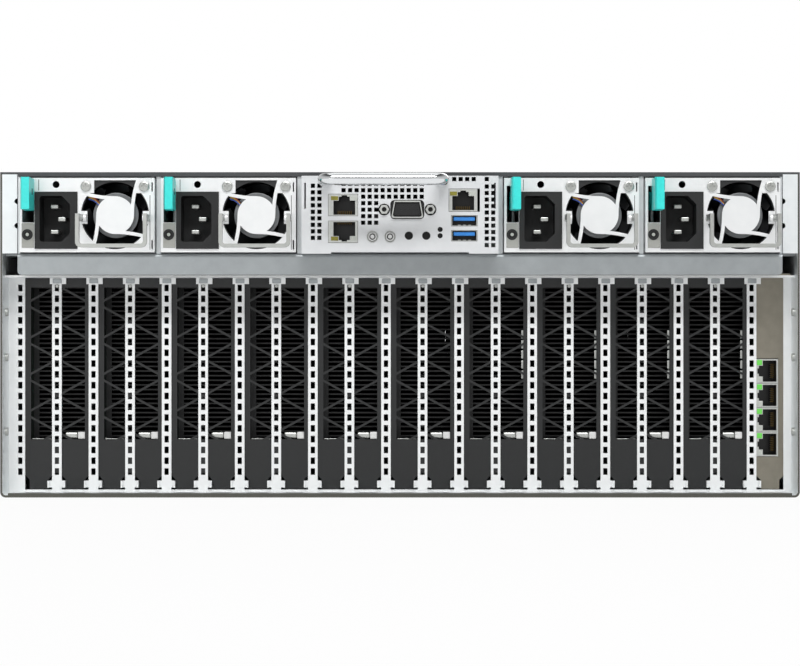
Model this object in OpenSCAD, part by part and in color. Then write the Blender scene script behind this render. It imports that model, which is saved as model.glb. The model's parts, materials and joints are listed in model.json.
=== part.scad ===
// Rack server, four units high, for ten double-width accelerator cards.
// +X is right and +Z is up as seen from behind, +Y runs from the rear to the front.
// The origin is below the middle of the whole object, on the surface that it stands on.

/* [Chassis] */
// Width of the chassis body
body_w = 437; // [434:0.5:440]
// Height of the chassis body
body_h = 177.8; // [176.8:0.1:178.2]
// Depth of the chassis body, rear edge to front face
body_d = 760; // [740:5:840]
// Thickness of the chassis sheet steel
sheet = 1.2; // [1:0.1:1.4]
// Outer radius of the two lower long edges
corner_r = 3; // [2:0.5:5]
// Width of the flanges turned inwards at the rear of the side walls
rear_flange_w = 9.3; // [8:0.1:9.4]
// Height of the hem along the rear edge of the floor
floor_hem = 2.4; // [2:0.2:3]
// Travel of the top cover before it lifts off
cover_travel = 15; // [10:1:20]

/* [Middle shelf] */
// Clear height of the upper bays, shelf to cover
bay_h = 43.2; // [43.1:0.1:43.6]
// Height of the bar along the rear edge of the shelf
bar_h = 11.7; // [10:0.1:13]
// Width of that bar
bar_w = 417.5; // [412:0.5:419]
// Radius of the rolled upper edge of the bar
bar_roll = 2.2; // [1.5:0.1:3]
// How far the bar stands out behind the rear edge
bar_proud = 1.5; // [0.5:0.5:3]

/* [Card slots] */
// Setback of the slot panel from the rear edge
slot_setback = 22; // [16:1:28]
// Distance from one expansion slot to the next
slot_pitch = 20.32; // [20.3:0.01:20.34]
// Left side face of the body to the middle of the first bar
slot_margin = 7.5; // [7:0.1:8]
// Width of the bars between the slots
rib_w = 5.3; // [4.8:0.1:6]
// Width of the punched holes in the bars
punch_w = 2.4; // [2:0.1:2.8]
// Height of the punched holes
punch_h = 3.7; // [3:0.1:4.4]
// Distance from one punched hole to the next
punch_pitch = 6; // [5.6:0.05:6.2]
// Number of punched holes in each bar
punch_count = 18; // [10:1:18]
// Width of the T head at the top of each bar
tee_w = 9; // [7:0.1:10]
// Width of the cross guide at the foot of each bar
foot_w = 9.8; // [9:0.2:12]

/* [Cards] */
// Number of accelerator cards
card_count = 10; // [1:1:10]
// Length of an accelerator card
card_len = 267; // [240:1:312]
// Thickness of the card brackets
bracket_t = 0.9; // [0.8:0.1:1.2]
// Thickness of every circuit board
board_t = 1.6; // [1.4:0.1:2]
// Width of the lattice window in a bracket
vent_w = 30; // [26:0.5:32]
// Width of the lattice struts
strut_w = 1.2; // [1:0.1:2]
// Distance from one heat sink fin to the next
fin_pitch = 2.6; // [2.4:0.1:4]
// Thickness of a heat sink fin
fin_t = 0.8; // [0.5:0.1:1.2]

/* [Power supplies] */
// Width of a power supply
psu_w = 73.5; // [73:0.1:74]
// Height of a power supply
psu_h = 40.5; // [40:0.1:40.8]
// Length of a power supply
psu_len = 185; // [180:1:190]
// Thickness of its case
psu_wall = 1; // [0.8:0.1:1.2]
// How far its face stands out behind the rear edge
psu_proud = 4; // [2:0.5:6]
// Thickness of the walls between the bays
divider_t = 2.4; // [2:0.1:2.8]
// Side play of a power supply or tray in its bay
bay_play = 0.55; // [0.4:0.05:0.7]
// Radius of the fan opening in its face
psu_fan_r = 18.6; // [18:0.1:19]
// How far the pull handle stands out from its face
bail_reach = 19; // [16:1:22]
// Width of the pull handle
bail_w = 38.4; // [37.6:0.1:39]
// Thickness of the pull handle
bail_t = 2; // [1.6:0.1:2.2]
// How far the release tab stands out
tab_reach = 19.5; // [16:0.5:24]

/* [Port tray] */
// Width of the port tray
tray_w = 106.5; // [106:0.1:107]
// Height of the port tray
tray_h = 41.2; // [40.8:0.1:41.4]
// Depth of the port tray
tray_d = 150; // [120:5:170]
// How far its face stands out behind the rear edge
tray_proud = 14; // [10:0.5:16]
// Pitch of the square vent holes
vent_pitch = 3.52; // [3.3:0.01:3.6]
// Side of the square vent holes
vent_hole = 2.3; // [2:0.1:2.6]
// Radius of the handle rod
rod_r = 3.3; // [2.5:0.1:3.4]
// How far the handle stands out from the tray face
rod_reach = 30; // [26:1:40]

/* [Front] */
// Overall width over the rack ears
ear_span = 482.6; // [482:0.1:483]
// Thickness of the rack ears
ear_t = 3; // [2:0.5:4]
// Distance across the rack between the ear slots
ear_slot_span = 465.1; // [464.5:0.1:465.5]
// Height of the lower ear slots above the base
ear_slot_z = 37.7; // [36:0.1:39]
// Distance between the lower and the upper ear slots
ear_slot_rise = 101.6; // [101.5:0.1:101.7]
// How far the ear handles stand out from the front face
grip_reach = 40; // [34:1:45]
// Diameter of the ear handles
grip_d = 10; // [8:0.5:12]
// Height of the ear handles
grip_h = 84; // [70:1:88]
// Number of drive carriers
drive_count = 4; // [4:1:4]
// Width of a drive carrier
drive_w = 104.5; // [103:0.5:105]
// Height of a drive carrier
drive_h = 28; // [27:0.5:30]
// Length of a drive carrier
drive_len = 160; // [150:5:180]
// Room above and below a system fan
fan_room = 5.5; // [5:0.5:8]
// Depth of a system fan
fan_depth = 38; // [25:1:38]
// Number of system fans
fan_count = 3; // [3:1:3]

/* [Fits] */
// Gap between pieces that slide past each other
slide_gap = 0.5; // [0.3:0.05:0.6]
// Gap between a piece and its seat
seat_gap = 0.3; // [0.2:0.05:0.3]
// Radial clearance of a shaft in its bore
shaft_gap = 0.05; // [0.02:0.01:0.08]

/* [Hidden] */
$fn = 48;
e = 0.01;

// Places along the depth
rear_reach = tray_proud + rod_reach;
y_rear = -(body_d + grip_reach - rear_reach) / 2;
y_front = y_rear + body_d;
y_slots = y_rear + slot_setback;
y_brackets = y_slots + sheet;
y_cards = y_brackets + bracket_t;

// Places across and up
inner_w = body_w - 2 * sheet;
wall_top = body_h - sheet;
shelf_top = wall_top - bay_h;
bar_bottom = shelf_top - bar_h;
ledge_top = bar_bottom;
ledge_d = 12;
foot_rail = 1.7;
foot_z = 4.1;
foot_h = 3.8;
guide_t = 0.9;
guide_reach = 2.6;
tee_h = 3.4;
tee_off = 0.6;
last_punch_drop = 6.8;
slot_count = floor((body_w - slot_margin) / slot_pitch);
cards = min(card_count, floor((slot_count - 1) / 2));
function rib_x(n) = -body_w / 2 + slot_margin + n * slot_pitch;

// Bays of the upper level
tray_half = tray_w / 2 + bay_play;
psu_bay = psu_w + 2 * bay_play;
psu_pitch = psu_bay + divider_t;
psu_inner_x = tray_half + divider_t + psu_bay / 2;
function psu_x(n) = (n < 3 ? -1 : 1) * (psu_inner_x + (n == 1 || n == 4 ? psu_pitch : 0));
psu_z = shelf_top + slide_gap;
y_psu = y_rear - psu_proud;
y_psu_end = y_psu + psu_len;

// ---- Helpers: a flat outline given a thickness ----

// Outline in X and Z, from y towards the front
module wall(y, t) translate([0, y + t, 0]) rotate([90, 0, 0]) linear_extrude(t) children();

// Outline in Y and Z, from x towards the right
module side(x, t) translate([x, 0, 0]) rotate([90, 0, 90]) linear_extrude(t) children();

// Outline in X and Y, from z upwards
module deck(z, t) translate([0, 0, z]) linear_extrude(t) children();

// Round bar along Y, along X, and along Z, each between two ends
module bar_y(y0, y1, r) translate([0, y1, 0]) rotate([90, 0, 0]) cylinder(h = y1 - y0, r = r);
module bar_x(x0, x1, r) translate([x0, 0, 0]) rotate([0, 90, 0]) cylinder(h = x1 - x0, r = r);
module bar_z(z0, z1, r) translate([0, 0, z0]) cylinder(h = z1 - z0, r = r);

// Rectangle with round corners
module round_rect(w, h, r) {
  translate([-w / 2 + r, -h / 2]) square([w - 2 * r, h]);
  translate([-w / 2, -h / 2 + r]) square([w, h - 2 * r]);
  for (x = [-1, 1], y = [-1, 1])
    translate([x * (w / 2 - r), y * (h / 2 - r)]) circle(r);
}

// Rectangle standing on y = 0 whose two lower corners are round
module round_bottom(w, h, r) {
  translate([-w / 2, r]) square([w, h - r]);
  translate([-w / 2 + r, 0]) square([w - 2 * r, r + e]);
  for (x = [-1, 1]) translate([x * (w / 2 - r), r]) circle(r);
}

// U-shaped rod: legs from y = 0 towards -Y, joined by a straight run along X
module bow(width, reach, r, bend) {
  leg_x = width / 2 - r;
  for (s = [-1, 1]) {
    translate([s * leg_x, 0, 0]) bar_y(-reach + r + bend, 0, r);
    translate([s * (leg_x - bend), -reach + r + bend, 0])
      mirror([s < 0 ? 1 : 0, 0, 0]) rotate([0, 0, -90])
        rotate_extrude(angle = 90) translate([bend, 0]) circle(r);
  }
  translate([0, -reach + r, 0]) bar_x(-leg_x + bend, leg_x - bend, r);
}

// Row of fins on a base plate: the base runs along y, the fins along x
module comb(base, reach, height, pitch, t) {
  square([base, height]);
  for (i = [0 : floor((height - t) / pitch)]) translate([0, i * pitch]) square([reach, t]);
}

// ---- Chassis ----

rail_hole_r = 2.1;
rail_hole_z = 88;
rail_hole_y = [60, 510];
notch_r = 1.5;
hem_d = 9;

module rear_flange_outline() {
  difference() {
    translate([body_w / 2 - rear_flange_w, shelf_top])
      square([rear_flange_w - sheet / 2, wall_top - shelf_top]);
    for (z = [0.35, 0.66] * bay_h)
      translate([body_w / 2 - rear_flange_w, shelf_top + z]) circle(notch_r);
  }
}

module chassis_pan() color("#8f9396") difference() {
  union() {
    wall(y_rear, body_d - sheet) difference() {
      round_bottom(body_w, wall_top, corner_r);
      translate([0, sheet]) round_bottom(inner_w, body_h, corner_r - sheet);
    }
    wall(y_rear, sheet) for (m = [0, 1]) mirror([m, 0]) rear_flange_outline();
    translate([-inner_w / 2 + corner_r, y_rear, sheet / 2])
      cube([inner_w - 2 * corner_r, hem_d, floor_hem - sheet / 2]);
  }
  for (y = rail_hole_y) translate([0, y_rear + y, rail_hole_z])
    bar_x(-body_w, body_w, rail_hole_r);
}

module slot_panel() color("#d5d8da") {
  wall(y_slots, sheet) {
    difference() {
      translate([0, sheet]) round_bottom(inner_w, ledge_top - sheet, corner_r - sheet);
      for (n = [0 : slot_count - 1])
        translate([rib_x(n) + rib_w / 2, sheet + foot_rail])
          square([slot_pitch - rib_w, ledge_top - 2 * sheet - foot_rail]);
      for (n = [0 : slot_count - 1], i = [0 : punch_count - 1])
        translate([rib_x(n), ledge_top - last_punch_drop - i * punch_pitch])
          square([punch_w, punch_h], center = true);
    }
    for (n = [1 : slot_count - 1]) {
      translate([rib_x(n) - tee_w / 2 + tee_off, ledge_top - sheet - tee_h])
        square([tee_w, tee_h + e]);
      translate([rib_x(n) - foot_w / 2, foot_z]) square([foot_w, foot_h]);
    }
  }
  for (n = [1 : slot_count - 1], s = [-1, 1])
    translate([rib_x(n) + s * (foot_w - guide_t) / 2 - guide_t / 2, y_slots - guide_reach, foot_z])
      cube([guide_t, guide_reach + e, foot_h]);
  translate([-inner_w / 2, y_slots - ledge_d, ledge_top - sheet])
    cube([inner_w, ledge_d + e, sheet]);
}

bar_d = 9;
bar_corner = 2;
module bar_profile() {
  difference() {
    union() {
      square([bar_d, bar_h - bar_roll]);
      translate([bar_roll, 0]) square([bar_d - bar_roll, bar_h]);
      translate([bar_roll, bar_h - bar_roll]) circle(bar_roll);
    }
    translate([sheet, sheet]) square([bar_d, bar_h - 2 * sheet]);
  }
}

module mid_shelf() color("#c8cdd0") {
  intersection() {
    side(-bar_w / 2, bar_w) translate([y_rear - bar_proud, bar_bottom]) bar_profile();
    translate([0, 0, bar_bottom])
      wall(y_rear - bar_proud, bar_d) round_bottom(bar_w, bar_h + sheet, bar_corner);
  }
  translate([-inner_w / 2, y_rear + bar_d - bar_proud - e, shelf_top - sheet])
    cube([inner_w, body_d - sheet - bar_d + bar_proud + e, sheet]);
}

tab_w = 6;
tab_d = 8;
module bay_dividers() color("#7e8285") {
  y0 = y_rear + sheet;
  for (s = [-1, 1]) {
    for (x = [tray_half, tray_half + psu_pitch])
      translate([s * (x + divider_t / 2), 0, 0]) {
        translate([-divider_t / 2, y0, shelf_top]) cube([divider_t, y_psu_end - y0, bay_h]);
        translate([-tab_w / 2 - divider_t / 2, y0, wall_top - sheet])
          cube([tab_w + divider_t, tab_d, sheet]);
      }
    translate([s * (tray_half + 2 * psu_pitch + sheet / 2) - sheet / 2, y0, shelf_top])
      cube([sheet, y_psu_end - y0, bay_h]);
  }
}

skirt_h = 8;
skirt_lead = 6;
weld_gap = 0.1;
lip_h = 1.2;
module top_cover() color("#3c3e40") {
  cover_in = inner_w / 2 - slide_gap;
  translate([-body_w / 2, y_rear, wall_top]) cube([body_w, body_d, sheet]);
  for (s = [-1, 1]) translate([s * (cover_in - sheet / 2) - sheet / 2,
                               y_rear + sheet + cover_travel + skirt_lead, wall_top - skirt_h])
    cube([sheet, body_d - 2 * sheet - cover_travel - 2 * skirt_lead, skirt_h - weld_gap]);
  lip_w = 2 * (body_w / 2 - rear_flange_w - slide_gap);
  translate([-lip_w / 2, y_rear, wall_top - lip_h]) cube([lip_w, sheet - 0.2, lip_h + e]);
}

// ---- Front ----

drive_bay = drive_w + 2 * slide_gap;
drive_pitch = drive_bay + 1.4;
function drive_x(n) = (n - (drive_count + 1) / 2) * drive_pitch;
drive_z = shelf_top + seat_gap;
fan_z = sheet + (shelf_top - 2 * sheet) / 2;
fan_side_room = 11.6;
fan_size = shelf_top - 2 * sheet - 2 * fan_room;
fan_pitch = (inner_w - fan_side_room) / fan_count;
function fan_x(n) = (n - (fan_count + 1) / 2) * fan_pitch;
grille_hole_r = 4.3;
grille_pitch = 9.4;
grille_r = fan_size / 2 - 4;
strip_slot_w = 3;

module fan_grille() {
  rows = ceil(grille_r / (grille_pitch * sqrt(3) / 2));
  for (j = [-rows : rows], i = [-rows : rows]) {
    x = (i + (j % 2 == 0 ? 0 : 0.5)) * grille_pitch;
    z = j * grille_pitch * sqrt(3) / 2;
    if (norm([x, z]) < grille_r) translate([x, z]) rotate(30) circle(grille_hole_r, $fn = 6);
  }
}

module front_panel() color("#2c2e30") {
  strip_z = drive_z + drive_h + 3;
  strip_h = wall_top - strip_z - 3;
  wall(y_front - sheet, sheet) difference() {
    round_bottom(body_w, wall_top, corner_r);
    for (n = [1 : drive_count])
      translate([drive_x(n) - drive_bay / 2, shelf_top])
        square([drive_bay, drive_h + seat_gap + slide_gap]);
    for (x = [-66 : 66]) translate([x * 2 * strip_slot_w, strip_z])
      translate([-strip_slot_w / 2, 0]) square([strip_slot_w - 0.6, strip_h]);
    for (n = [1 : fan_count]) translate([fan_x(n), fan_z]) fan_grille();
  }
}

ear_leg = 60;
ear_margin = 10;
ear_slot_h = 6.8;
ear_slot_w = 10.3;
grip_x = body_w / 2 + 7;
module rack_ears() color("#5d6163") for (m = [0, 1]) mirror([m, 0, 0]) {
  wall(y_front - ear_t, ear_t) difference() {
    translate([body_w / 2, 0]) square([(ear_span - body_w) / 2, body_h]);
    for (z = [ear_slot_z, ear_slot_z + ear_slot_rise]) translate([ear_slot_span / 2, z]) {
      square([ear_slot_w - ear_slot_h, ear_slot_h], center = true);
      for (s = [-1, 1]) translate([s * (ear_slot_w - ear_slot_h) / 2, 0])
        circle(d = ear_slot_h);
    }
  }
  translate([body_w / 2, y_front - ear_leg, ear_margin])
    cube([ear_t - 1, ear_leg - ear_t + e, body_h - 2 * ear_margin]);
  translate([grip_x, y_front, body_h / 2]) rotate([0, 90, 0]) mirror([0, 1, 0])
    bow(grip_h, grip_reach, grip_d / 2, grip_d * 0.6);
}

screw_head_r = 2.6;
screw_head_h = 1.4;
module chassis_screws() color("#b9bcbe") {
  for (m = [0, 1]) mirror([m, 0, 0]) {
    for (z = [0.2, 0.43, 0.57]) translate([0, y_rear + slot_setback / 2, z * body_h])
      bar_x(inner_w / 2 - screw_head_h, inner_w / 2, screw_head_r - 0.4);
    for (z = [0.15, 0.5, 0.85]) translate([0, y_front - ear_leg / 2, z * body_h])
      bar_x(body_w / 2 + ear_t - 1, body_w / 2 + ear_t - 1 + screw_head_h, screw_head_r);
    for (z = [0.06, 0.68]) translate([body_w / 2 - 7, 0, z * body_h])
      bar_y(y_front, y_front + screw_head_h, screw_head_r);
  }
}

// ---- Cards ----

standoff_h = 5;
board_z = sheet + standoff_h;
board_top = board_z + board_t;
socket_w = 7.5;
socket_len = 89;
socket_h = 11.2;
groove = board_t + 0.4;
tongue_y = 40;
tongue_len = socket_len - 6;
tongue_lift = 1.5;
card_z = board_top + socket_h + 1;
card_top = ledge_top - sheet - 2;
gpu_board_off = 3.6;
lan_board_off = 1.2;
lan_card_len = 168;
gpu_w = 2 * slot_pitch - 3;
lattice_z = 30.8;
lattice_h = 84.4;
lattice_side_left = 5.8;
bracket_z = sheet + 2;
function gpu_x(n) = rib_x(2 * n - 2);
lan_x = rib_x(slot_count - 1);
card_boards_x = [for (n = [1 : cards]) gpu_x(n) + gpu_board_off, lan_x + lan_board_off];

board_edge = 12;
post_inset = 7.3;
post_r = 3;
post_x = (inner_w / 2 - board_edge - post_inset) / 3;
module switch_board() color("#1f5a3a") {
  board_y = y_brackets + 6;
  board_d = card_len + 40;
  translate([-inner_w / 2 + board_edge, board_y, board_z])
    cube([inner_w - 2 * board_edge, board_d, board_t]);
  for (i = [-3 : 3], y = [board_edge, board_d - board_edge])
    translate([i * post_x, board_y + y, 0]) bar_z(sheet, board_z + e, post_r);
}

module card_sockets() color("#151617") for (x = card_boards_x) difference() {
  translate([x + board_t / 2 - socket_w / 2, y_cards + tongue_y - 3, board_top])
    cube([socket_w, socket_len, socket_h]);
  translate([x + board_t / 2 - groove / 2, y_cards + tongue_y - 1, board_top + 1])
    cube([groove, socket_len - 4, socket_h]);
}

module card_outline(len) {
  translate([0, card_z]) square([len, card_top - card_z]);
  translate([tongue_y, board_top + 1 + tongue_lift]) square([tongue_len, card_z - board_top]);
}

module card_boards() color("#20302a") {
  for (x = card_boards_x) side(x, board_t) translate([y_cards, 0])
    card_outline(x == card_boards_x[cards] ? lan_card_len : card_len);
}

// Window crossed by struts that meet on the middle line of the bracket
cross_step = 20.35;
cross_z = 4;
cross_lean = 0.553;
module lattice_window() {
  half = vent_w / 2;
  reach = half + 1;
  cut = strut_w / 2 * sqrt(1 + pow(cross_lean, 2));
  difference() {
    translate([-half, 0]) square([vent_w, lattice_h]);
    for (i = [0 : 4], s = [-1, 1]) {
      z = cross_z + i * cross_step;
      rise = s * cross_lean * reach;
      polygon([[-reach, z - rise - cut], [reach, z + rise - cut], [reach, z + rise + cut],
               [-reach, z - rise + cut]]);
    }
  }
}

module bracket_tab(x, w) {
  translate([x, y_slots - ledge_d, ledge_top])
    cube([w, ledge_d + sheet + bracket_t, bracket_t]);
}

// Foot of a bracket, narrowed so that it slips behind the foot rail
foot_rise = 9;
foot_neck = 5;
foot_half = 5.1;
lan_w_plate = 18.4;
module bracket_foot(w) {
  polygon([[-w / 2, foot_rise], [-foot_half, foot_neck], [-foot_half, 0], [foot_half, 0],
           [foot_half, foot_neck], [w / 2, foot_rise]]);
}

module gpu_brackets() color("#222325") for (n = [1 : cards]) {
  x0 = gpu_x(n) + 1.6;
  wall(y_brackets, bracket_t) difference() {
    union() {
      translate([x0, bracket_z + foot_rise - e])
        square([gpu_w, ledge_top - bracket_z - foot_rise + 2 * e]);
      for (i = [0.5, 1.5]) translate([x0 - 1.6 + i * slot_pitch, bracket_z])
        bracket_foot(slot_pitch - (i < 1 ? 3.2 : 2.8));
    }
    translate([gpu_x(n) + lattice_side_left + vent_w / 2, lattice_z]) lattice_window();
  }
  bracket_tab(x0, gpu_w);
}

shroud_t = 1;
module gpu_shrouds() color("#2a2b2d") for (n = [1 : cards]) {
  x0 = gpu_x(n) + gpu_board_off + board_t;
  x1 = gpu_x(n) + 2 * slot_pitch - 1.4;
  z0 = board_top + socket_h + 1;
  wall(y_cards, card_len) difference() {
    translate([x0, z0]) square([x1 - x0, card_top - z0]);
    translate([x0 - 1, z0 + shroud_t]) square([x1 - x0 + 1 - shroud_t, card_top - z0 - 2 * shroud_t]);
  }
}

sink_base = 3;
sink_lead = 14;
module gpu_heatsinks() color("#303133") for (n = [1 : cards]) {
  x0 = gpu_x(n) + gpu_board_off + board_t;
  reach = gpu_x(n) + 2 * slot_pitch - 1.4 - shroud_t - seat_gap - x0;
  z0 = card_z + shroud_t + seat_gap;
  wall(y_cards + sink_lead, card_len - 2 * sink_lead) translate([x0, z0])
    comb(sink_base, reach, card_top - shroud_t - seat_gap - z0, fin_pitch, fin_t);
}

// Four network jacks, one above the other, each lying on its side
lan_jacks = 4;
jack_pitch = 13.55;
jack_block_w = 12;
jack_block_d = 21;
lan_jack_z = 21.4;
jack_plug_w = 11.8;
jack_plug_h = 7.6;
jack_key_w = 6;
jack_key_h = 2.2;
jack_catch_h = 0.8;
jack_depth = 13;
jack_gap = 0.2;
jack_plug_x = 7.3;

// Opening of a network jack, latch side up, centred on the plug
module jack_outline() {
  square([jack_plug_w, jack_plug_h], center = true);
  translate([-jack_key_w / 2, jack_plug_h / 2 - e]) square([jack_key_w, jack_key_h]);
  translate([-jack_key_w / 4, jack_plug_h / 2 + jack_key_h - 2 * e])
    square([jack_key_w / 2, jack_catch_h]);
}

module lan_card_bracket() color("#7a7464") {
  x0 = lan_x + 1.2;
  wall(y_brackets, bracket_t) difference() {
    union() {
      translate([x0, bracket_z + foot_rise - e])
        square([lan_w_plate, ledge_top - bracket_z - foot_rise + 2 * e]);
      translate([x0 + lan_w_plate / 2, bracket_z]) bracket_foot(lan_w_plate);
    }
    translate([lan_x + lan_board_off + board_t - 0.2, lan_jack_z - 0.2])
      square([jack_block_w + 0.4, lan_jacks * jack_pitch + 0.4]);
  }
  bracket_tab(x0, lan_w_plate);
}

module lan_card_jacks() color("#8d8f8c") for (i = [0 : lan_jacks - 1])
  translate([lan_x + lan_board_off + board_t, y_brackets - 0.4, lan_jack_z + i * jack_pitch])
    difference() {
      cube([jack_block_w, jack_block_d, jack_pitch - jack_gap]);
      wall(-1, jack_depth + 1) translate([jack_plug_x, (jack_pitch - jack_gap) / 2])
        rotate(90) jack_outline();
    }

// ---- Boards of the upper level ----

main_gap = 50;
main_edge = 17.3;
main_w = inner_w - 2 * main_edge;
main_d = 300;
main_inset = 14;
main_y = y_psu_end + main_gap;
main_z = shelf_top + standoff_h;
main_top = main_z + board_t;
module mainboard() color("#1f5a3a") {
  translate([-main_w / 2, main_y, main_z]) cube([main_w, main_d, board_t]);
  for (i = [-3 : 3], y = [main_inset, main_d - main_inset])
    translate([i * (main_w / 2 - main_inset) / 3, main_y + y, 0])
      bar_z(shelf_top, main_z + e, post_r);
}

cpu_x = 92;
sink_w = 78;
sink_len = 108;
sink_seat = 5;
sink_h = 25;
sink_pitch = 3;
module cpu_heatsinks() color("#b4b8bb") for (s = [-1, 1])
  wall(main_y + (main_d - sink_len) / 2, sink_len)
    translate([s * cpu_x - sink_w / 2, main_top]) mirror([1, -1, 0])
      comb(sink_seat, sink_h, sink_w, sink_pitch, fin_t);

dimm_pitch = 7.5;
dimm_off = 50;
dimm_t = 1.4;
dimm_len = 133;
dimm_h = 30;
module memory_modules() color("#23402f") for (s = [-1, 1], side_of_cpu = [-1, 1], i = [0 : 3])
  translate([s * cpu_x + side_of_cpu * (dimm_off + i * dimm_pitch) - dimm_t / 2,
             main_y + (main_d - dimm_len) / 2, main_top])
    cube([dimm_t, dimm_len, dimm_h]);

tongue_w = 50;
tongue_z = psu_z + psu_h / 2;
pb_d = 36;
pb_post_y = 28;
module power_board() color("#1f5a3a") {
  y0 = y_psu_end + 1;
  pb_z = shelf_top + standoff_h;
  translate([-inner_w / 2 + board_edge, y0, pb_z])
    cube([inner_w - 2 * board_edge, pb_d, board_t]);
  for (i = [-3 : 3]) translate([i * post_x, y0 + pb_post_y, 0])
    bar_z(shelf_top, pb_z + e, post_r);
  for (n = [1 : 4]) difference() {
    translate([psu_x(n) - tongue_w / 2 - 4, y0, pb_z + board_t - e])
      cube([tongue_w + 8, 13, tongue_z + 5 - pb_z - board_t]);
    translate([psu_x(n) - tongue_w / 2 - slide_gap, y0 - 1, tongue_z - board_t / 2 - 0.2])
      cube([tongue_w + 2 * slide_gap, 11, board_t + 0.4]);
  }
}

// ---- Fans ----

pin_r = 1.5;
tip_gap = 0.8;

// Square frame whose bore runs along Y, with struts and a stator post at its far end
module fan_frame(size_x, size_z, depth, bore_r, hub_r) {
  difference() {
    translate([-size_x / 2, 0, -size_z / 2]) cube([size_x, depth, size_z]);
    bar_y(-1, depth + 1, bore_r);
  }
  for (a = [45 : 90 : 315]) rotate([0, a, 0])
    translate([hub_r - 1, depth - 2, -1]) cube([bore_r + 0.3 - hub_r + 1, 2, 2]);
  bar_y(depth - 4, depth, hub_r);
  bar_y(depth * 0.35, depth - 4 + e, pin_r);
}

// Hub with pitched blades; the blades stay inside bore_r
module fan_rotor(depth, bore_r, hub_r, blades, pitch) {
  y0 = depth * 0.12;
  y1 = depth - 4 - seat_gap;
  difference() {
    union() {
      bar_y(y0, y1, hub_r);
      intersection() {
        for (i = [0 : blades - 1]) rotate([0, i * 360 / blades, 0])
          translate([hub_r - 1, (y0 + y1) / 2, 0]) rotate([pitch, 0, 0])
            translate([0, -(y1 - y0) / 2 / cos(90 - pitch), -0.5])
              cube([bore_r, (y1 - y0) / cos(90 - pitch), 1]);
        bar_y(y0 + 1, y1, bore_r - tip_gap);
      }
    }
    bar_y(depth * 0.35 - seat_gap, y1 + 1, pin_r + shaft_gap);
  }
}

sys_bore_r = fan_size / 2 - 2;
sys_hub_r = 22;
y_fans = y_front - sheet;
module fan_frames() color("#1b1c1d") for (n = [1 : fan_count])
  translate([fan_x(n), y_fans, fan_z]) mirror([0, 1, 0])
    fan_frame(fan_size, fan_size, fan_depth, sys_bore_r, sys_hub_r);
module system_rotor(n) color("#26282a") translate([fan_x(n), y_fans, fan_z]) mirror([0, 1, 0])
  fan_rotor(fan_depth, sys_bore_r, sys_hub_r, 7, 50);
module fan_rotor_1() system_rotor(1);
module fan_rotor_2() system_rotor(2);
module fan_rotor_3() system_rotor(3);

// ---- Power supplies: X from the left side, Y from the face, Z from the underside ----

fan_cx = 52;
fan_cz = psu_h / 2;
psu_fan_d = 28;
psu_hub_r = 12.4;
guard_disc_r = 10.3;
guard_arm_w = 1.9;
guard_top = 19;
guard_half = 11.4;
pad_w = 11.5;
pad_h = 9;
fan_seat = 0.5;
inlet_x = 8.3;
inlet_z = 1.9;
inlet_w = 23.2;
inlet_h = 31;
inlet_proud = 1;
inlet_d = 24;
cavity_w = 16.6;
cavity_h = 25;
cavity_off = 2.7;
window_x = 1.4;
window_w = 6.6;
window_z = 16.2;
window_h = 20;
latch_pin_x = 5.7;
latch_pin_y = 20;
latch_pin_r = 1;
bail_pin_z = 18.6;
bail_pin_y = -2.6;
bail_pin_r = 0.9;
ear_w = 1.6;
hole_x = 19.9;
hole_z = 36.9;

module at_psu(n) translate([psu_x(n) - psu_w / 2, y_psu, psu_z]) children();

// Strip that swirls from the rim of the hub disc to the rim of the fan opening
module guard_arm() {
  steps = 6;
  r_in = guard_disc_r - guard_arm_w;
  drift = 3.4;
  end_z = psu_fan_r + 1.5;
  bow_x = function(t) r_in + drift * t * t;
  inner = [for (i = [0 : steps]) [bow_x(i / steps), end_z * i / steps]];
  outer = [for (i = [steps : -1 : 0]) [bow_x(i / steps) + guard_arm_w, end_z * i / steps]];
  polygon(concat(inner, outer));
}

module guard_outline() {
  difference() {
    union() {
      circle(psu_fan_r);
      translate([-guard_half, 0]) square([2 * guard_half, guard_top]);
    }
    for (s = [-1, 1]) translate([s * psu_fan_r, -1.3]) square([7, 7], center = true);
    for (s = [-1, 1]) translate([s * (guard_half + pad_w / 2), guard_top - pad_h / 2 + 2])
      square([pad_w, pad_h], center = true);
  }
}

module psu_face() {
  difference() {
    square([psu_w, psu_h]);
    translate([inlet_x - 0.1, inlet_z - 0.1]) square([inlet_w + 0.2, inlet_h + 0.2]);
    translate([window_x, window_z]) square([window_w, window_h]);
    translate([hole_x, hole_z]) circle(1.9);
    for (z = [1.6, psu_h - 7.5]) translate([psu_w - 1.7, z]) square([0.8, 5]);
    translate([fan_cx, fan_cz]) difference() {
      guard_outline();
      circle(guard_disc_r);
      for (a = [0 : 90 : 270]) rotate(a) guard_arm();
    }
  }
}

module bail_ears() for (s = [-1, 1]) {
  ear_out = bail_w / 2 - bail_t - seat_gap;
  translate([fan_cx + s * (ear_out - ear_w / 2), 0, bail_pin_z]) {
    translate([-ear_w / 2, bail_pin_y, -2]) cube([ear_w, -bail_pin_y + e, 4]);
    translate([0, bail_pin_y, 0]) bar_x(-ear_w / 2, ear_w / 2, 2);
    translate([0, bail_pin_y, 0]) mirror([s < 0 ? 1 : 0, 0, 0])
      bar_x(0, ear_w / 2 + seat_gap + bail_t, bail_pin_r);
  }
}

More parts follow.
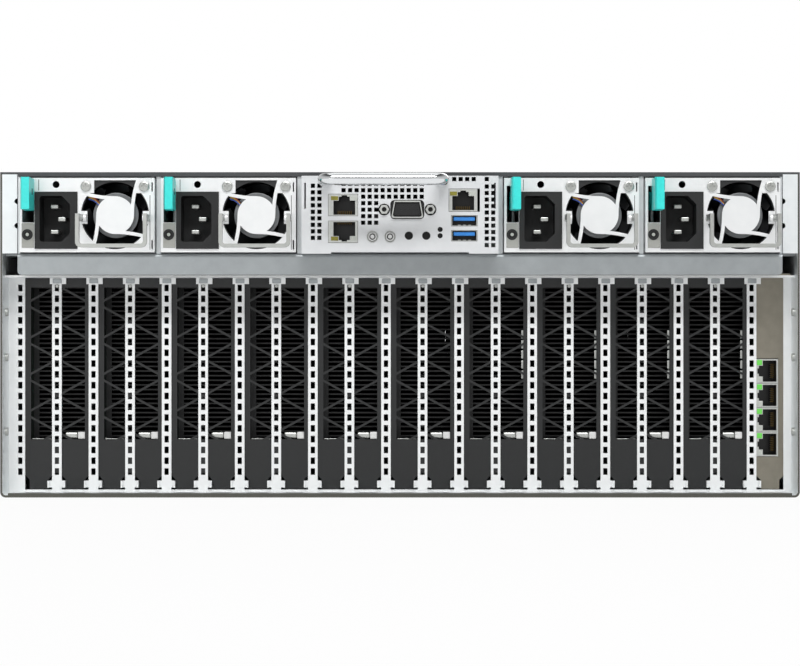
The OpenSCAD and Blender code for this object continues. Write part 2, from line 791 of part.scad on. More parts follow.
module psu_case(n) color("#e4e7e9") at_psu(n) {
  wall(0, psu_wall) psu_face();
  difference() {
    translate([0, psu_wall - e, 0]) cube([psu_w, psu_len - psu_wall, psu_h]);
    translate([psu_wall, 0, psu_wall])
      cube([psu_w - 2 * psu_wall, psu_len - psu_wall, psu_h - 2 * psu_wall]);
  }
  translate([psu_w / 2 - tongue_w / 2, psu_len - 1, psu_h / 2 - board_t / 2])
    cube([tongue_w, 10, board_t]);
  translate([latch_pin_x, latch_pin_y, 0]) bar_z(psu_wall - e, psu_h - psu_wall + e, latch_pin_r);
  translate([fan_cx, psu_wall + fan_seat, psu_h / 2])
    fan_frame(2 * psu_fan_r + 2, psu_h - 2 * psu_wall + 2 * e, psu_fan_d, psu_fan_r - 0.2,
              psu_hub_r);
  bail_ears();
}

module cavity_outline() {
  c = 4.6;
  r = 1.5;
  difference() {
    round_rect(cavity_w, cavity_h, r);
    for (s = [-1, 1]) translate([cavity_w / 2, s * cavity_h / 2]) rotate(45)
      square(c * sqrt(2), center = true);
  }
}

module psu_inlet(n) color("#1d1e1f") at_psu(n) {
  mid = [inlet_x + cavity_off + cavity_w / 2, inlet_z + inlet_h / 2 + 0.8];
  difference() {
    translate([inlet_x, -inlet_proud, inlet_z]) cube([inlet_w, inlet_d, inlet_h]);
    wall(-inlet_proud - 1, 18) translate(mid) cavity_outline();
  }
  for (p = [[-1, 7], [3, 0], [-1, -7]]) translate([mid[0] + p[0] - 2, 5.5, mid[1] + p[1] - 1])
    cube([4, 12, 2]);
}

module psu_rotor(n) color("#232527") at_psu(n)
  translate([fan_cx, psu_wall + fan_seat, psu_h / 2])
    fan_rotor(psu_fan_d, psu_fan_r - 0.2, psu_hub_r, 7, 50);

tab_t = 4.9;
tab_x = 3.3;
tab_base = inlet_proud + 0.6;
tab_z = 22.6;
tab_h = 17.2;
leaf_t = 1.2;
leaf_z = 24;
leaf_h = 10;
module psu_latch(n) color("#2fe0d6") at_psu(n) {
  difference() {
    union() {
      translate([tab_x, -tab_reach, tab_z])
        deck(0, tab_h) polygon([[0.8, 0], [tab_t, 0], [tab_t, tab_reach - tab_base],
                                [0, tab_reach - tab_base], [0, 1.6]]);
      translate([latch_pin_x - leaf_t / 2, -tab_base - e, leaf_z])
        cube([leaf_t, latch_pin_y + tab_base + e, leaf_h]);
      translate([latch_pin_x, latch_pin_y, 0]) bar_z(leaf_z, leaf_z + leaf_h, 2.2);
    }
    translate([latch_pin_x, latch_pin_y, 0])
      bar_z(leaf_z - 1, leaf_z + leaf_h + 1, latch_pin_r + shaft_gap);
  }
}

bail_z = 2;
bail_r = 3;
module psu_handle(n) color("#c9ced1") at_psu(n) {
  drop = bail_pin_z - bail_z;
  depth = bail_reach + bail_pin_y;
  strap = 3.2;
  translate([fan_cx, bail_pin_y, bail_pin_z]) difference() {
    union() {
      for (s = [-1, 1]) translate([s * (bail_w / 2 - bail_t / 2) - bail_t / 2, 0, 0])
        side(0, bail_t) {
          circle(1.9);
          translate([-depth, -strap / 2]) square([depth, strap]);
          translate([-depth, bail_r - drop]) square([strap, drop - bail_r]);
        }
      wall(-depth, strap) difference() {
        translate([0, -drop]) round_bottom(bail_w, bail_r + strap, bail_r);
        translate([0, bail_t - drop])
          round_bottom(bail_w - 2 * bail_t, bail_r + strap, bail_r - bail_t + 0.5);
      }
    }
    bar_x(-bail_w, bail_w, bail_pin_r + shaft_gap);
  }
}

module psu_1_case() psu_case(1);
module psu_1_inlet() psu_inlet(1);
module psu_1_rotor() psu_rotor(1);
module psu_1_latch() psu_latch(1);
module psu_1_handle() psu_handle(1);
module psu_2_case() psu_case(2);
module psu_2_inlet() psu_inlet(2);
module psu_2_rotor() psu_rotor(2);
module psu_2_latch() psu_latch(2);
module psu_2_handle() psu_handle(2);
module psu_3_case() psu_case(3);
module psu_3_inlet() psu_inlet(3);
module psu_3_rotor() psu_rotor(3);
module psu_3_latch() psu_latch(3);
module psu_3_handle() psu_handle(3);
module psu_4_case() psu_case(4);
module psu_4_inlet() psu_inlet(4);
module psu_4_rotor() psu_rotor(4);
module psu_4_latch() psu_latch(4);
module psu_4_handle() psu_handle(4);

// ---- Port tray: X from its middle, Y from its face, Z from its underside ----

tray_t = 1;
port_pcb_z = tray_t + 2;
port_z = port_pcb_z + board_t;
lan_x0 = -38.7;
lan_w = 15.8;
lan_shell_h = 11.6;
lan_shell_zs = [5.1, 19.6];
lan_plug_zs = [12.4, 23.9];
lan_plug_off = 0.7;
port_gap = 0.2;
stack_x0 = 26.5;
stack_w = 15.3;
stack_z = 22;
stack_h = 12.1;
stack_gap_right = 1.4;
stack_lan_z = 26.4;
usb_off = 1.3;
usb_w = 13.9;
usb_h = 5.6;
usb_zs = [8.8, 16.9];
usb_skin = 0.4;
vga_x = 3.95;
vga_z = 22.95;
vga_screw_x = 12.5;
shell_w = 17.4;
shell_h = 9.4;
button_xs = [-14.9, -5.4];
button_z = 8.25;
button_r = 2.3;
jack_hole_r = 2;
jack_holes = [[4.8, 8.8], [14.2, 8.8]];
lamp_hole_r = 1.4;
lamp_holes = [[21.7, 8.8], [21.7, 12.2]];
slit_w = 0.9;
slit_h = 14;
slit_z = 23.4;
slit_inset = 1.95;
toe_w = 16;
toe_h = 0.9;

module at_tray() translate([0, y_rear - tray_proud, shelf_top + seat_gap]) children();

module vent_field(x, z, columns, rows) {
  for (i = [0 : columns - 1], j = [0 : rows - 1])
    translate([x + i * vent_pitch, z - j * vent_pitch]) square(vent_hole, center = true);
}

// Blocks of square vents: X and Z of the first hole, columns, rows
vent_fields = [[-47.1, 35.8, 2, 9], [46.9, 35.4, 2, 10], [-30.5, 36.9, 13, 2],
               [-19.9, 29.9, 10, 1], [-19.9, 26.4, 3, 4], [29.3, 39.4, 4, 1],
               [46.9, 39.4, 1, 1]];

module tray_face() {
  edge = tray_w / 2;
  difference() {
    translate([-edge, 0]) square([tray_w, tray_h]);
    for (f = vent_fields) vent_field(f[0], f[1], f[2], f[3]);
    for (z = lan_shell_zs) translate([lan_x0 - port_gap, z - port_gap])
      square([lan_w + 2 * port_gap, lan_shell_h + 2 * port_gap]);
    translate([stack_x0 - port_gap, stack_z - port_gap])
      square([stack_w + port_gap + stack_gap_right, stack_h + 2 * port_gap]);
    for (z = usb_zs) translate([stack_x0 + usb_off - port_gap, z - usb_h / 2 - port_gap])
      square([usb_w + 2 * port_gap, usb_h + 2 * port_gap]);
    translate([vga_x, vga_z]) round_rect(shell_w + 1, shell_h + 1, 2.4);
    for (s = [-1, 1]) translate([vga_x + s * vga_screw_x, vga_z]) circle(3.2);
    for (x = button_xs) translate([x, button_z]) circle(button_r + seat_gap);
    for (p = jack_holes) translate(p) circle(jack_hole_r);
    for (p = lamp_holes) translate(p) circle(lamp_hole_r);
    for (s = [-1, 1]) translate([s * (edge - slit_inset) - slit_w / 2, slit_z])
      square([slit_w, slit_h]);
  }
  for (s = [-1, 1]) translate([s * (edge - toe_w / 2) - toe_w / 2, -toe_h])
    square([toe_w, toe_h + e]);
}

module port_tray() color("#cdd1d3") at_tray() {
  wall(0, tray_t) tray_face();
  translate([-tray_w / 2, tray_t - e, 0]) cube([tray_w, tray_d - tray_t, tray_t]);
  for (s = [-1, 1]) translate([s * (tray_w - tray_t) / 2 - tray_t / 2, tray_t - e, 0])
    cube([tray_t, tray_d - tray_t, tray_h]);
}

handle_x = -8.9;
handle_z = tray_h - rod_r - 0.1;
handle_w = 70;
module port_tray_handle() color("#dfe3e5") at_tray() translate([handle_x, 0, handle_z])
  bow(handle_w, rod_reach, rod_r, 6);

module port_board() color("#1f5a3a") at_tray() {
  translate([-tray_w / 2 + tray_t + 1, 3.5, port_pcb_z])
    cube([tray_w - 2 * tray_t - 2, tray_d - 8, board_t]);
  for (x = [-1, 1], y = [40, tray_d - 14]) translate([x * 40, y, 0])
    bar_z(tray_t, port_pcb_z + e, 2.5);
}

shell_proud = 0.3;
shell_t = tray_t + seat_gap;

module lan_jack_stack() color("#8d8f8c") at_tray() difference() {
  block_h = lan_shell_zs[1] + lan_shell_h - port_z;
  union() {
    translate([lan_x0, shell_t, port_z]) cube([lan_w, 26, block_h]);
    for (z = lan_shell_zs) translate([lan_x0, -shell_proud, z])
      cube([lan_w, shell_t + shell_proud + e, lan_shell_h]);
  }
  wall(-1, jack_depth + 1) for (i = [0, 1])
    translate([lan_x0 + lan_w / 2 + lan_plug_off, lan_plug_zs[i]]) mirror([0, 1 - i])
      jack_outline();
}

module usb_jack_stack() color("#8d8f8c") at_tray() {
  usb_x0 = stack_x0 + usb_off;
  shell_d = shell_t + shell_proud + e;
  difference() {
    union() {
      translate([stack_x0, shell_t, stack_z]) cube([stack_w, 20, stack_h]);
      translate([usb_x0, shell_t, port_z]) cube([usb_w, 17, stack_z - port_z + e]);
      translate([stack_x0, -shell_proud, stack_z]) cube([stack_w, shell_d, stack_h]);
      for (z = usb_zs) translate([usb_x0, -shell_proud, z - usb_h / 2])
        cube([usb_w, shell_d, usb_h]);
    }
    wall(-1, jack_depth + 1) translate([stack_x0 + stack_w / 2, stack_lan_z]) jack_outline();
    wall(-1, 10) for (z = usb_zs) translate([usb_x0 + usb_skin, z - usb_h / 2 + usb_skin / 2])
      square([usb_w - 2 * usb_skin, usb_h - usb_skin]);
  }
  for (z = usb_zs) translate([usb_x0 + 1.4, 0.8, z + 0.1]) cube([usb_w - 2.8, 9, 1.9]);
}

module vga_outline(w, h) {
  lean = 0.8;
  r = 1.6;
  difference() {
    round_rect(w, h, r);
    for (s = [-1, 1]) translate([s * w / 2, -h / 2]) rotate(s * 10)
      translate([s * lean, 0]) square([2 * lean, 3 * h], center = true);
  }
}

module display_port() color("#b9bdbf") at_tray() translate([vga_x, 0, vga_z]) {
  difference() {
    wall(-1.6, 7) vga_outline(shell_w, shell_h);
    wall(-2.6, 7) vga_outline(shell_w - 1.4, shell_h - 1.4);
  }
  wall(1.4, 5) translate([-11.5, -6]) square([23, 12]);
  translate([-9, 6.3, port_z - vga_z]) cube([18, 12, 12]);
  wall(-0.6, 5) vga_outline(shell_w - 3, shell_h - 3.2);
  for (s = [-1, 1]) translate([s * vga_screw_x, 0, 0]) difference() {
    rotate([90, 0, 0]) translate([0, 0, -6.4]) cylinder(h = 8.4, r = 2.7, $fn = 6);
    bar_y(-3, 2, 1.3);
  }
}

module tray_button(i) translate([button_xs[i], 0, button_z]) {
  bar_y(-1.2, 2.2, button_r);
  bar_y(2.2 - e, 3.2, button_r + 0.8);
}
module power_button() color("#e8e8e6") at_tray() tray_button(0);
module id_button() color("#e8e8e6") at_tray() tray_button(1);

// ---- Drive carriers and their levers ----

bezel_t = 3;
lever_w = 62;
lever_h = 9;
lever_t = 2.4;
lever_pin_r = 1;
lever_inset = 9;
module at_drive(n) translate([drive_x(n) - drive_w / 2, y_front, drive_z]) children();

module drive_carrier(n) color("#3a3c3e") at_drive(n) {
  difference() {
    translate([0, -drive_len, 0]) cube([drive_w, drive_len + 1, drive_h]);
    translate([1.5, -drive_len - 1, 1.5]) cube([drive_w - 3, drive_len - bezel_t + 2, drive_h]);
    for (i = [0 : 15]) translate([drive_w - 30 + i * 1.6 - 1, -bezel_t - 1, 5])
      cube([0.8, bezel_t + 3, drive_h - 10]);
  }
  z = drive_h / 2;
  for (s = [-1, 1]) translate([lever_inset, 0, z + s * (lever_h / 2 + seat_gap + 1)]) {
    translate([-2.5, 1 - e, -1]) cube([5, lever_t / 2 + seat_gap + e, 2]);
    translate([0, 1 + lever_t / 2 + seat_gap, 0]) bar_z(-1, 1, 2.5);
  }
  translate([lever_inset, 1 + lever_t / 2 + seat_gap, z])
    bar_z(-lever_h / 2 - 1, lever_h / 2 + 1, lever_pin_r);
}

module drive_lever(n) color("#8a8e91") at_drive(n)
  translate([lever_inset, 1 + lever_t / 2 + seat_gap, drive_h / 2]) difference() {
    union() {
      bar_z(-lever_h / 2, lever_h / 2, lever_t / 2);
      translate([0, -lever_t / 2, -lever_h / 2]) cube([lever_w, lever_t, lever_h]);
    }
    bar_z(-lever_h, lever_h, lever_pin_r + shaft_gap);
  }

module drive_1() drive_carrier(1);
module drive_2() drive_carrier(2);
module drive_3() drive_carrier(3);
module drive_4() drive_carrier(4);
module drive_lever_1() drive_lever(1);
module drive_lever_2() drive_lever(2);
module drive_lever_3() drive_lever(3);
module drive_lever_4() drive_lever(4);

chassis_pan();
slot_panel();
mid_shelf();
bay_dividers();
top_cover();
front_panel();
rack_ears();
chassis_screws();
switch_board();
card_sockets();
gpu_brackets();
gpu_shrouds();
gpu_heatsinks();
card_boards();
lan_card_bracket();
lan_card_jacks();
mainboard();
cpu_heatsinks();
memory_modules();
power_board();
fan_frames();
fan_rotor_1();
fan_rotor_2();
fan_rotor_3();
port_tray();
port_tray_handle();
port_board();
lan_jack_stack();
display_port();
usb_jack_stack();
power_button();
id_button();
psu_1_case();
psu_1_inlet();
psu_1_rotor();
psu_1_latch();
psu_1_handle();
psu_2_case();
psu_2_inlet();
psu_2_rotor();
psu_2_latch();
psu_2_handle();
psu_3_case();
psu_3_inlet();
psu_3_rotor();
psu_3_latch();
psu_3_handle();
psu_4_case();
psu_4_inlet();
psu_4_rotor();
psu_4_latch();
psu_4_handle();
drive_1();
drive_2();
drive_3();
drive_4();
drive_lever_1();
drive_lever_2();
drive_lever_3();
drive_lever_4();
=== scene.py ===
# %% [markdown]
# # A rack server, dressed for rendering
#
# The construction comes from CAD and is loaded as a fixed frame: it is already at its real size
# and in its real place. This notebook gives every surface its finish and adds the small things
# that a drawing in CAD leaves out, such as screw recesses, lamps, contacts and lenses. Every new
# piece starts from the CAD box of the part that carries it. Its distances from there, in
# millimetres, are named in the cell that makes it.

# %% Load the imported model
import json
import math

import bpy
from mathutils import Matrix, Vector


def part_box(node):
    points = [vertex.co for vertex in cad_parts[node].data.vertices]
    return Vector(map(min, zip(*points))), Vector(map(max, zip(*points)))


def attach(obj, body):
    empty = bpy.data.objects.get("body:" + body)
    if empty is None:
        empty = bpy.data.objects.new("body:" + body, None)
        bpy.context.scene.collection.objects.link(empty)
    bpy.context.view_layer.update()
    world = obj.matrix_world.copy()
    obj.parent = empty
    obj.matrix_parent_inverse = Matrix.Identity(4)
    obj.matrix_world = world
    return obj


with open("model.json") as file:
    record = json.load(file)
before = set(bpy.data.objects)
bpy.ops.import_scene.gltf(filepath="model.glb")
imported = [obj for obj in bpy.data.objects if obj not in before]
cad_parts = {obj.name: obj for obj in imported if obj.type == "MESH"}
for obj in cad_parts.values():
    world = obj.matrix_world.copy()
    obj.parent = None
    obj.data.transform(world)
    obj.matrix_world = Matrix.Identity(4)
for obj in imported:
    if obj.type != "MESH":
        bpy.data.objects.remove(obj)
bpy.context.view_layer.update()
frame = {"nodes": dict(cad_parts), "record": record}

MM = 0.001
nodes = frame["nodes"]

# %% [markdown]
# ## Colours and shader nodes
#
# Colours are written as the sRGB hex values that a colour picker shows, and one function turns
# them into the linear values that the renderer works with. A second small function adds any
# shader node with its settings and its links, so that each finish below reads as a short recipe.

# %% Helpers for materials
BUMP_DISTANCE = 0.0002


def linear(hex_colour):
    """Turn an sRGB hex colour such as #8F9396 into linear RGBA."""
    parts = [int(hex_colour[i:i + 2], 16) / 255 for i in (1, 3, 5)]
    channels = [c / 12.92 if c <= 0.04045 else ((c + 0.055) / 1.055) ** 2.4 for c in parts]
    return (*channels, 1.0)


def add(tree, kind, sockets=None, **settings):
    """Add a shader node. A socket gets a value, or a link when given (node, output name)."""
    node = tree.nodes.new(kind)
    for name, value in settings.items():
        setattr(node, name, value)
    for name, value in (sockets or {}).items():
        if isinstance(value, tuple) and hasattr(value[0], "outputs"):
            tree.links.new(value[0].outputs[value[1]], node.inputs[name])
        else:
            node.inputs[name].default_value = value
    return node


def start_material(name, **sockets):
    """A material with a Principled shader whose constants sit on its own sockets."""
    material = bpy.data.materials.new(name)
    material.use_nodes = True
    tree = material.node_tree
    shader = tree.nodes["Principled BSDF"]
    for socket, value in sockets.items():
        shader.inputs[socket.replace("_", " ")].default_value = value
    coordinates = tree.nodes.new("ShaderNodeTexCoord")
    return material, tree, shader, (coordinates, "Object")


def mottle(tree, shader, place, grain_mm, dark, light, rough_low, rough_high, bump=0.0):
    """Vary colour and roughness with a noise of the given grain, and lift it as a fine bump."""
    noise = add(tree, "ShaderNodeTexNoise",
                {"Vector": place, "Scale": 1 / (grain_mm * MM), "Detail": 4.0, "Roughness": 0.6})
    shade = add(tree, "ShaderNodeMix", {"Factor": (noise, "Fac")}, data_type="RGBA")
    shade.inputs[6].default_value = linear(dark)
    shade.inputs[7].default_value = linear(light)
    tree.links.new(shade.outputs[2], shader.inputs["Base Color"])
    rough = add(tree, "ShaderNodeMapRange",
                {"Value": (noise, "Fac"), "To Min": rough_low, "To Max": rough_high})
    tree.links.new(rough.outputs["Result"], shader.inputs["Roughness"])
    if bump:
        relief = add(tree, "ShaderNodeBump",
                     {"Height": (noise, "Fac"), "Strength": bump, "Distance": BUMP_DISTANCE})
        tree.links.new(relief.outputs["Normal"], shader.inputs["Normal"])

# %% [markdown]
# ## Sheet metal
#
# The chassis is zinc-plated steel, a cool grey with faint clouds in the plating and wide soft
# highlights. The power supplies wear a brighter nickel plate, the network card a duller one, and
# the handle of the port tray is polished chrome.

# %% Metal finishes
SMOOTHEST_METAL, ROUGHEST_METAL = 0.05, 0.07


def plated_steel(name, dark, light, rough, grain_mm=6.0, bump=0.02, metallic=1.0):
    """Metal whose roughness spreads a little to either side of the value given."""
    material, tree, shader, place = start_material(name, Metallic=metallic)
    mottle(tree, shader, place, grain_mm, dark, light,
           rough - SMOOTHEST_METAL, rough + ROUGHEST_METAL, bump)
    return material


zinc = plated_steel("zinc_plated_steel", "#CDD1D3", "#DFE2E3", 0.4, metallic=0.45)
shelf_zinc = plated_steel("brushed_zinc_plated_steel", "#969B9D", "#A9AEB0", 0.36, metallic=0.6)
bar_zinc = plated_steel("bright_zinc_plated_steel", "#EEF0F0", "#F7F8F8", 0.4, metallic=0.25)
tray_zinc = plated_steel("satin_zinc_plated_steel", "#D6D8DA", "#E2E4E5", 0.42, metallic=0.35)
nickel = plated_steel("bright_nickel_plated_steel", "#EDEFF0", "#F8F9F9", 0.34, metallic=0.3)
card_nickel = plated_steel("dull_nickel_plated_steel", "#7C776B", "#918C80", 0.4, metallic=0.7)
tin = plated_steel("tin_plated_steel", "#A9ABA8", "#C2C4C0", 0.34, grain_mm=2.0, metallic=0.7)
chrome = plated_steel("polished_chrome", "#DDE0E2", "#E9EBEC", 0.08, grain_mm=12.0, bump=0.0)
fin_metal = plated_steel("extruded_aluminium", "#B9BDC0", "#C9CCCE", 0.4, grain_mm=3.0)
# The gold is darkened as painted shade of the deep jacks that the contacts sit in.
gold = plated_steel("gold_contacts_painted_shade", "#4E4127", "#6B5A38", 0.35, grain_mm=1.0, bump=0.0)
print("metal finishes ready")

# %% [markdown]
# ## Paint and plastic
#
# Painted sheet and moulded plastic share one recipe: an even colour with a fine grain that
# breaks the highlight up, and a refractive index of 1.5.

# %% Painted and moulded finishes
COATING_IOR, LENS_IOR = 1.5, 1.49
SMOOTHEST_COAT, ROUGHEST_COAT = 0.06, 0.08
LENS_GRAIN_MM = 1.0
LENS_ROUGHNESS = (0.12, 0.25)


def coated(name, dark, light, rough, grain_mm=0.8, bump=0.15):
    """Paint or plastic with a fine grain."""
    material, tree, shader, place = start_material(name, IOR=COATING_IOR)
    mottle(tree, shader, place, grain_mm, dark, light,
           rough - SMOOTHEST_COAT, rough + ROUGHEST_COAT, bump)
    return material


cover_paint = coated("cover_grey_powder_coat", "#3B3D3F", "#46484A", 0.5)
front_paint = coated("front_black_powder_coat", "#1C1D1F", "#26282A", 0.5)
ear_paint = coated("ear_grey_powder_coat", "#55595B", "#626668", 0.45)
bracket_paint = coated("bracket_black_electrocoat", "#0C0D0E", "#17191A", 0.42, grain_mm=1.5)
shroud_paint = coated("shroud_black_paint", "#0A0B0B", "#101112", 0.6)
black_anodised = coated("black_anodised_aluminium", "#0B0C0D", "#141516", 0.5)
inlet_plastic = coated("inlet_black_nylon", "#030304", "#1B1C1D", 0.6, grain_mm=0.6, bump=0.5)
fan_plastic = coated("fan_black_pbt", "#131415", "#1E1F21", 0.4)
rotor_plastic = coated("rotor_black_pbt", "#151617", "#232527", 0.32)
socket_plastic = coated("socket_black_nylon", "#0F1011", "#18191A", 0.45)
teal_plastic = coated("release_tab_teal_pc", "#2FDCD4", "#49F0EA", 0.32, grain_mm=1.2, bump=0.06)
button_plastic = coated("button_white_abs", "#DCDDDC", "#EAEAE8", 0.35)
board_mask = coated("circuit_board_dark_mask", "#0D1D16", "#13281E", 0.4, grain_mm=3.0)
jack_plastic = coated("jack_black_lcp", "#08090A", "#111213", 0.45, grain_mm=1.0, bump=0.05)
usb_blue = coated("usb_tongue_blue_lcp", "#2473C6", "#3C93E6", 0.35, grain_mm=1.5, bump=0.05)
hub_grey = coated("fan_hub_grey_pbt", "#5E6163", "#8A8D8F", 0.35, grain_mm=4.0, bump=0.05)
# Painted shade: this black fills holes, slits, the lamp recess and the far ends of the cards,
# where only shade falls. It also draws the dark seams of the supply faces.
shade_and_seam_black = coated("painted_shade_and_seam_black", "#050505", "#0A0A0A", 0.7)
plate_grey = coated("lamp_plate_grey_paint", "#A3A39E", "#B1B1AC", 0.45)


def lens(name, dark, light, glow):
    """A small moulded light pipe: coloured, glossy and a little lit from behind."""
    material, tree, shader, place = start_material(name, IOR=LENS_IOR)
    mottle(tree, shader, place, LENS_GRAIN_MM, dark, light, *LENS_ROUGHNESS)
    shader.inputs["Emission Color"].default_value = linear(light)
    shader.inputs["Emission Strength"].default_value = glow
    return material


green_lens = lens("light_pipe_green", "#3F8F35", "#6FD457", 0.35)
amber_lens = lens("light_pipe_amber", "#6E6A25", "#948D3A", 0.05)
clear_lens = lens("light_pipe_clear", "#A6A9A2", "#CDD0CA", 0.05)
wire_red = coated("wire_red_pvc", "#B03A34", "#C24A42", 0.4)
wire_blue = coated("wire_blue_pvc", "#3B57B5", "#4C69C4", 0.4)
wire_yellow = coated("wire_yellow_pvc", "#C9A53A", "#D8B64C", 0.4)


# %% [markdown]
# ## Finishes that change within one part
#
# A jack is a tin shell around black plastic. The rear edges of the pan's sheet are painted dark,
# as painted shade. Both recipes compare the object coordinates with a plane.

# %% Finishes with two zones
INSERT_BLACK = "#0B0C0D"
# The dark grey of the pan's rear edge faces is painted shade.
EDGE_SHADE = "#55554F"
SHELL_METALLIC = 0.7
SHELL_GRAIN_MM, PAN_GRAIN_MM = 1.5, 6.0


def shell_and_insert(name, face_y):
    """Tin where the metal shell shows, black plastic for all that lies deeper than its rim."""
    material, tree, shader, place = start_material(name)
    apart = add(tree, "ShaderNodeSeparateXYZ", {"Vector": place})
    deep = add(tree, "ShaderNodeMath", {0: (apart, "Y"), 1: face_y}, operation="GREATER_THAN")
    mottle(tree, shader, place, SHELL_GRAIN_MM, "#B3B5B2", "#CFD1CD", 0.28, 0.42)
    tin_colour = shader.inputs["Base Color"].links[0].from_node
    mixed = add(tree, "ShaderNodeMix", {"Factor": (deep, "Value")}, data_type="RGBA")
    tree.links.new(tin_colour.outputs[2], mixed.inputs[6])
    mixed.inputs[7].default_value = linear(INSERT_BLACK)
    tree.links.new(mixed.outputs[2], shader.inputs["Base Color"])
    shine = add(tree, "ShaderNodeMapRange", {"Value": (deep, "Value"),
                                             "To Min": SHELL_METALLIC, "To Max": 0.0})
    tree.links.new(shine.outputs["Result"], shader.inputs["Metallic"])
    return material


def pan_steel_with_edge_shade(name, rear_y, half_width, hem_z):
    """Plated sheet whose rear edge faces are painted dark grey, as painted shade."""
    material, tree, shader, place = start_material(name, Metallic=0.5)
    mottle(tree, shader, place, PAN_GRAIN_MM, "#E3E8EA", "#F2F5F6", 0.34, 0.46, 0.02)
    plated = shader.inputs["Base Color"].links[0].from_node
    apart = add(tree, "ShaderNodeSeparateXYZ", {"Vector": place})
    side = add(tree, "ShaderNodeMath", {0: (apart, "X")}, operation="ABSOLUTE")
    wall = add(tree, "ShaderNodeMath", {0: (side, "Value"), 1: half_width},
               operation="GREATER_THAN")
    hem = add(tree, "ShaderNodeMath", {0: (apart, "Z"), 1: hem_z}, operation="LESS_THAN")
    rim = add(tree, "ShaderNodeMath", {0: (wall, "Value"), 1: (hem, "Value")},
              operation="MAXIMUM")
    rear = add(tree, "ShaderNodeMath", {0: (apart, "Y"), 1: rear_y}, operation="LESS_THAN")
    # cut marks the rear edge faces, which are painted dark as painted shade.
    cut = add(tree, "ShaderNodeMath", {0: (rim, "Value"), 1: (rear, "Value")},
              operation="MULTIPLY")
    mixed = add(tree, "ShaderNodeMix", {"Factor": (cut, "Value")}, data_type="RGBA")
    tree.links.new(plated.outputs[2], mixed.inputs[6])
    mixed.inputs[7].default_value = linear(EDGE_SHADE)
    tree.links.new(mixed.outputs[2], shader.inputs["Base Color"])
    return material


EDGE_SHADE_DEPTH, EDGE_SHADE_WIDTH, HEM_TOP = 0.3, 1.15, 2.45
JACK_RIM, SCREEN_RIM = 0.25, 1.1
pan_low, pan_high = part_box("chassis_pan")
pan_metal = pan_steel_with_edge_shade("zinc_plated_steel_painted_edge_shade", pan_low.y + EDGE_SHADE_DEPTH * MM,
                      pan_high.x - EDGE_SHADE_WIDTH * MM, HEM_TOP * MM)
tray_insert = shell_and_insert("jack_shell_tray",
                               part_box("lan_jack_stack")[0].y + JACK_RIM * MM)
screen_insert = shell_and_insert("display_shell",
                                 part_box("display_port")[0].y + SCREEN_RIM * MM)
card_insert = shell_and_insert("jack_shell_card",
                               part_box("lan_card_jacks")[0].y + JACK_RIM * MM)
print("two-zone finishes ready")

# %% Finish of each slot of the record
slot_finish = {
    "zinc_steel": zinc, "bright_zinc": bar_zinc, "cover_paint": cover_paint,
    "front_paint": front_paint, "ear_paint": ear_paint, "screw_steel": tin,
    "circuit_board": board_mask, "socket_plastic": socket_plastic,
    "bracket_black": bracket_paint, "shroud_paint": shroud_paint,
    "dark_fins": black_anodised, "card_nickel": card_nickel, "jack_shield": tin,
    "bare_aluminium": fin_metal, "fan_plastic": fan_plastic, "rotor_plastic": rotor_plastic,
    "chrome_rod": chrome, "psu_plate": nickel, "inlet_plastic": inlet_plastic,
    "tab_plastic": teal_plastic, "handle_steel": tin, "button_plastic": button_plastic,
}
node_finish = {
    "chassis_pan": pan_metal, "mid_shelf": shelf_zinc, "port_tray": tray_zinc,
    "lan_jack_stack": tray_insert, "usb_jack_stack": tray_insert,
    "display_port": screen_insert, "lan_card_jacks": card_insert,
}
for part in frame["record"]["subparts"]:
    name = part["node"]
    finish = node_finish.get(name, slot_finish[part["material_slot"]])
    slots = nodes[name].material_slots
    if len(slots) == 0:
        nodes[name].data.materials.append(finish)
    for slot in slots:
        slot.material = finish

# %% [markdown]
# ## Small pieces
#
# Everything below is made from primitives, with the bevels and cuts applied. Each piece rides on
# the body that it belongs to, so it follows the real joints when a supply is pulled out or a
# button is pressed.

# %% Helpers for pieces
SMOOTH = 64
BEVEL_SEGMENTS = 2
CUT_CLEARANCE = 1


def round_edges(obj, width):
    """Round the sharp edges of a mesh, unless the width is zero."""
    if not width:
        return
    rounding = obj.modifiers.new("rounding", "BEVEL")
    rounding.width = width * MM
    rounding.segments = BEVEL_SEGMENTS
    rounding.limit_method = "ANGLE"
    bpy.ops.object.modifier_apply(modifier="rounding")


def only(obj):
    """Make obj the one selected and active object."""
    bpy.ops.object.select_all(action="DESELECT")
    obj.select_set(True)
    bpy.context.view_layer.objects.active = obj


def settle(obj, material, bevel=0.0):
    """Bake the place of a primitive into its mesh, round its edges and give it its finish."""
    bpy.ops.object.transform_apply(location=True, rotation=True, scale=True)
    round_edges(obj, bevel)
    obj.data.materials.clear()
    obj.data.materials.append(material)
    return obj


def block(base, low, high, material, bevel=0.0):
    """A box between two corners, in millimetres from base."""
    bpy.ops.object.select_all(action="DESELECT")
    middle = [b + (l + h) / 2 * MM for b, l, h in zip(base, low, high)]
    bpy.ops.mesh.primitive_cube_add(size=1.0, location=middle)
    obj = bpy.context.object
    obj.scale = [(h - l) * MM for l, h in zip(low, high)]
    return settle(obj, material, bevel)


def disc(base, centre, radius, depth, material, bevel=0.0, vertices=32):
    """A cylinder along Y that starts at centre and runs depth towards the front."""
    bpy.ops.object.select_all(action="DESELECT")
    place = [b + c * MM for b, c in zip(base, centre)]
    place[1] += depth / 2 * MM
    bpy.ops.mesh.primitive_cylinder_add(vertices=vertices, radius=radius * MM, depth=depth * MM,
                                        location=place, rotation=(math.radians(90), 0, 0))
    return settle(bpy.context.object, material, bevel)


def carve(obj, cutter):
    """Cut cutter out of obj and throw cutter away."""
    bpy.context.view_layer.objects.active = obj
    cut = obj.modifiers.new("cut", "BOOLEAN")
    cut.object = cutter
    cut.operation = "DIFFERENCE"
    cut.solver = "EXACT"
    bpy.ops.object.modifier_apply(modifier="cut")
    bpy.data.objects.remove(cutter)
    return obj


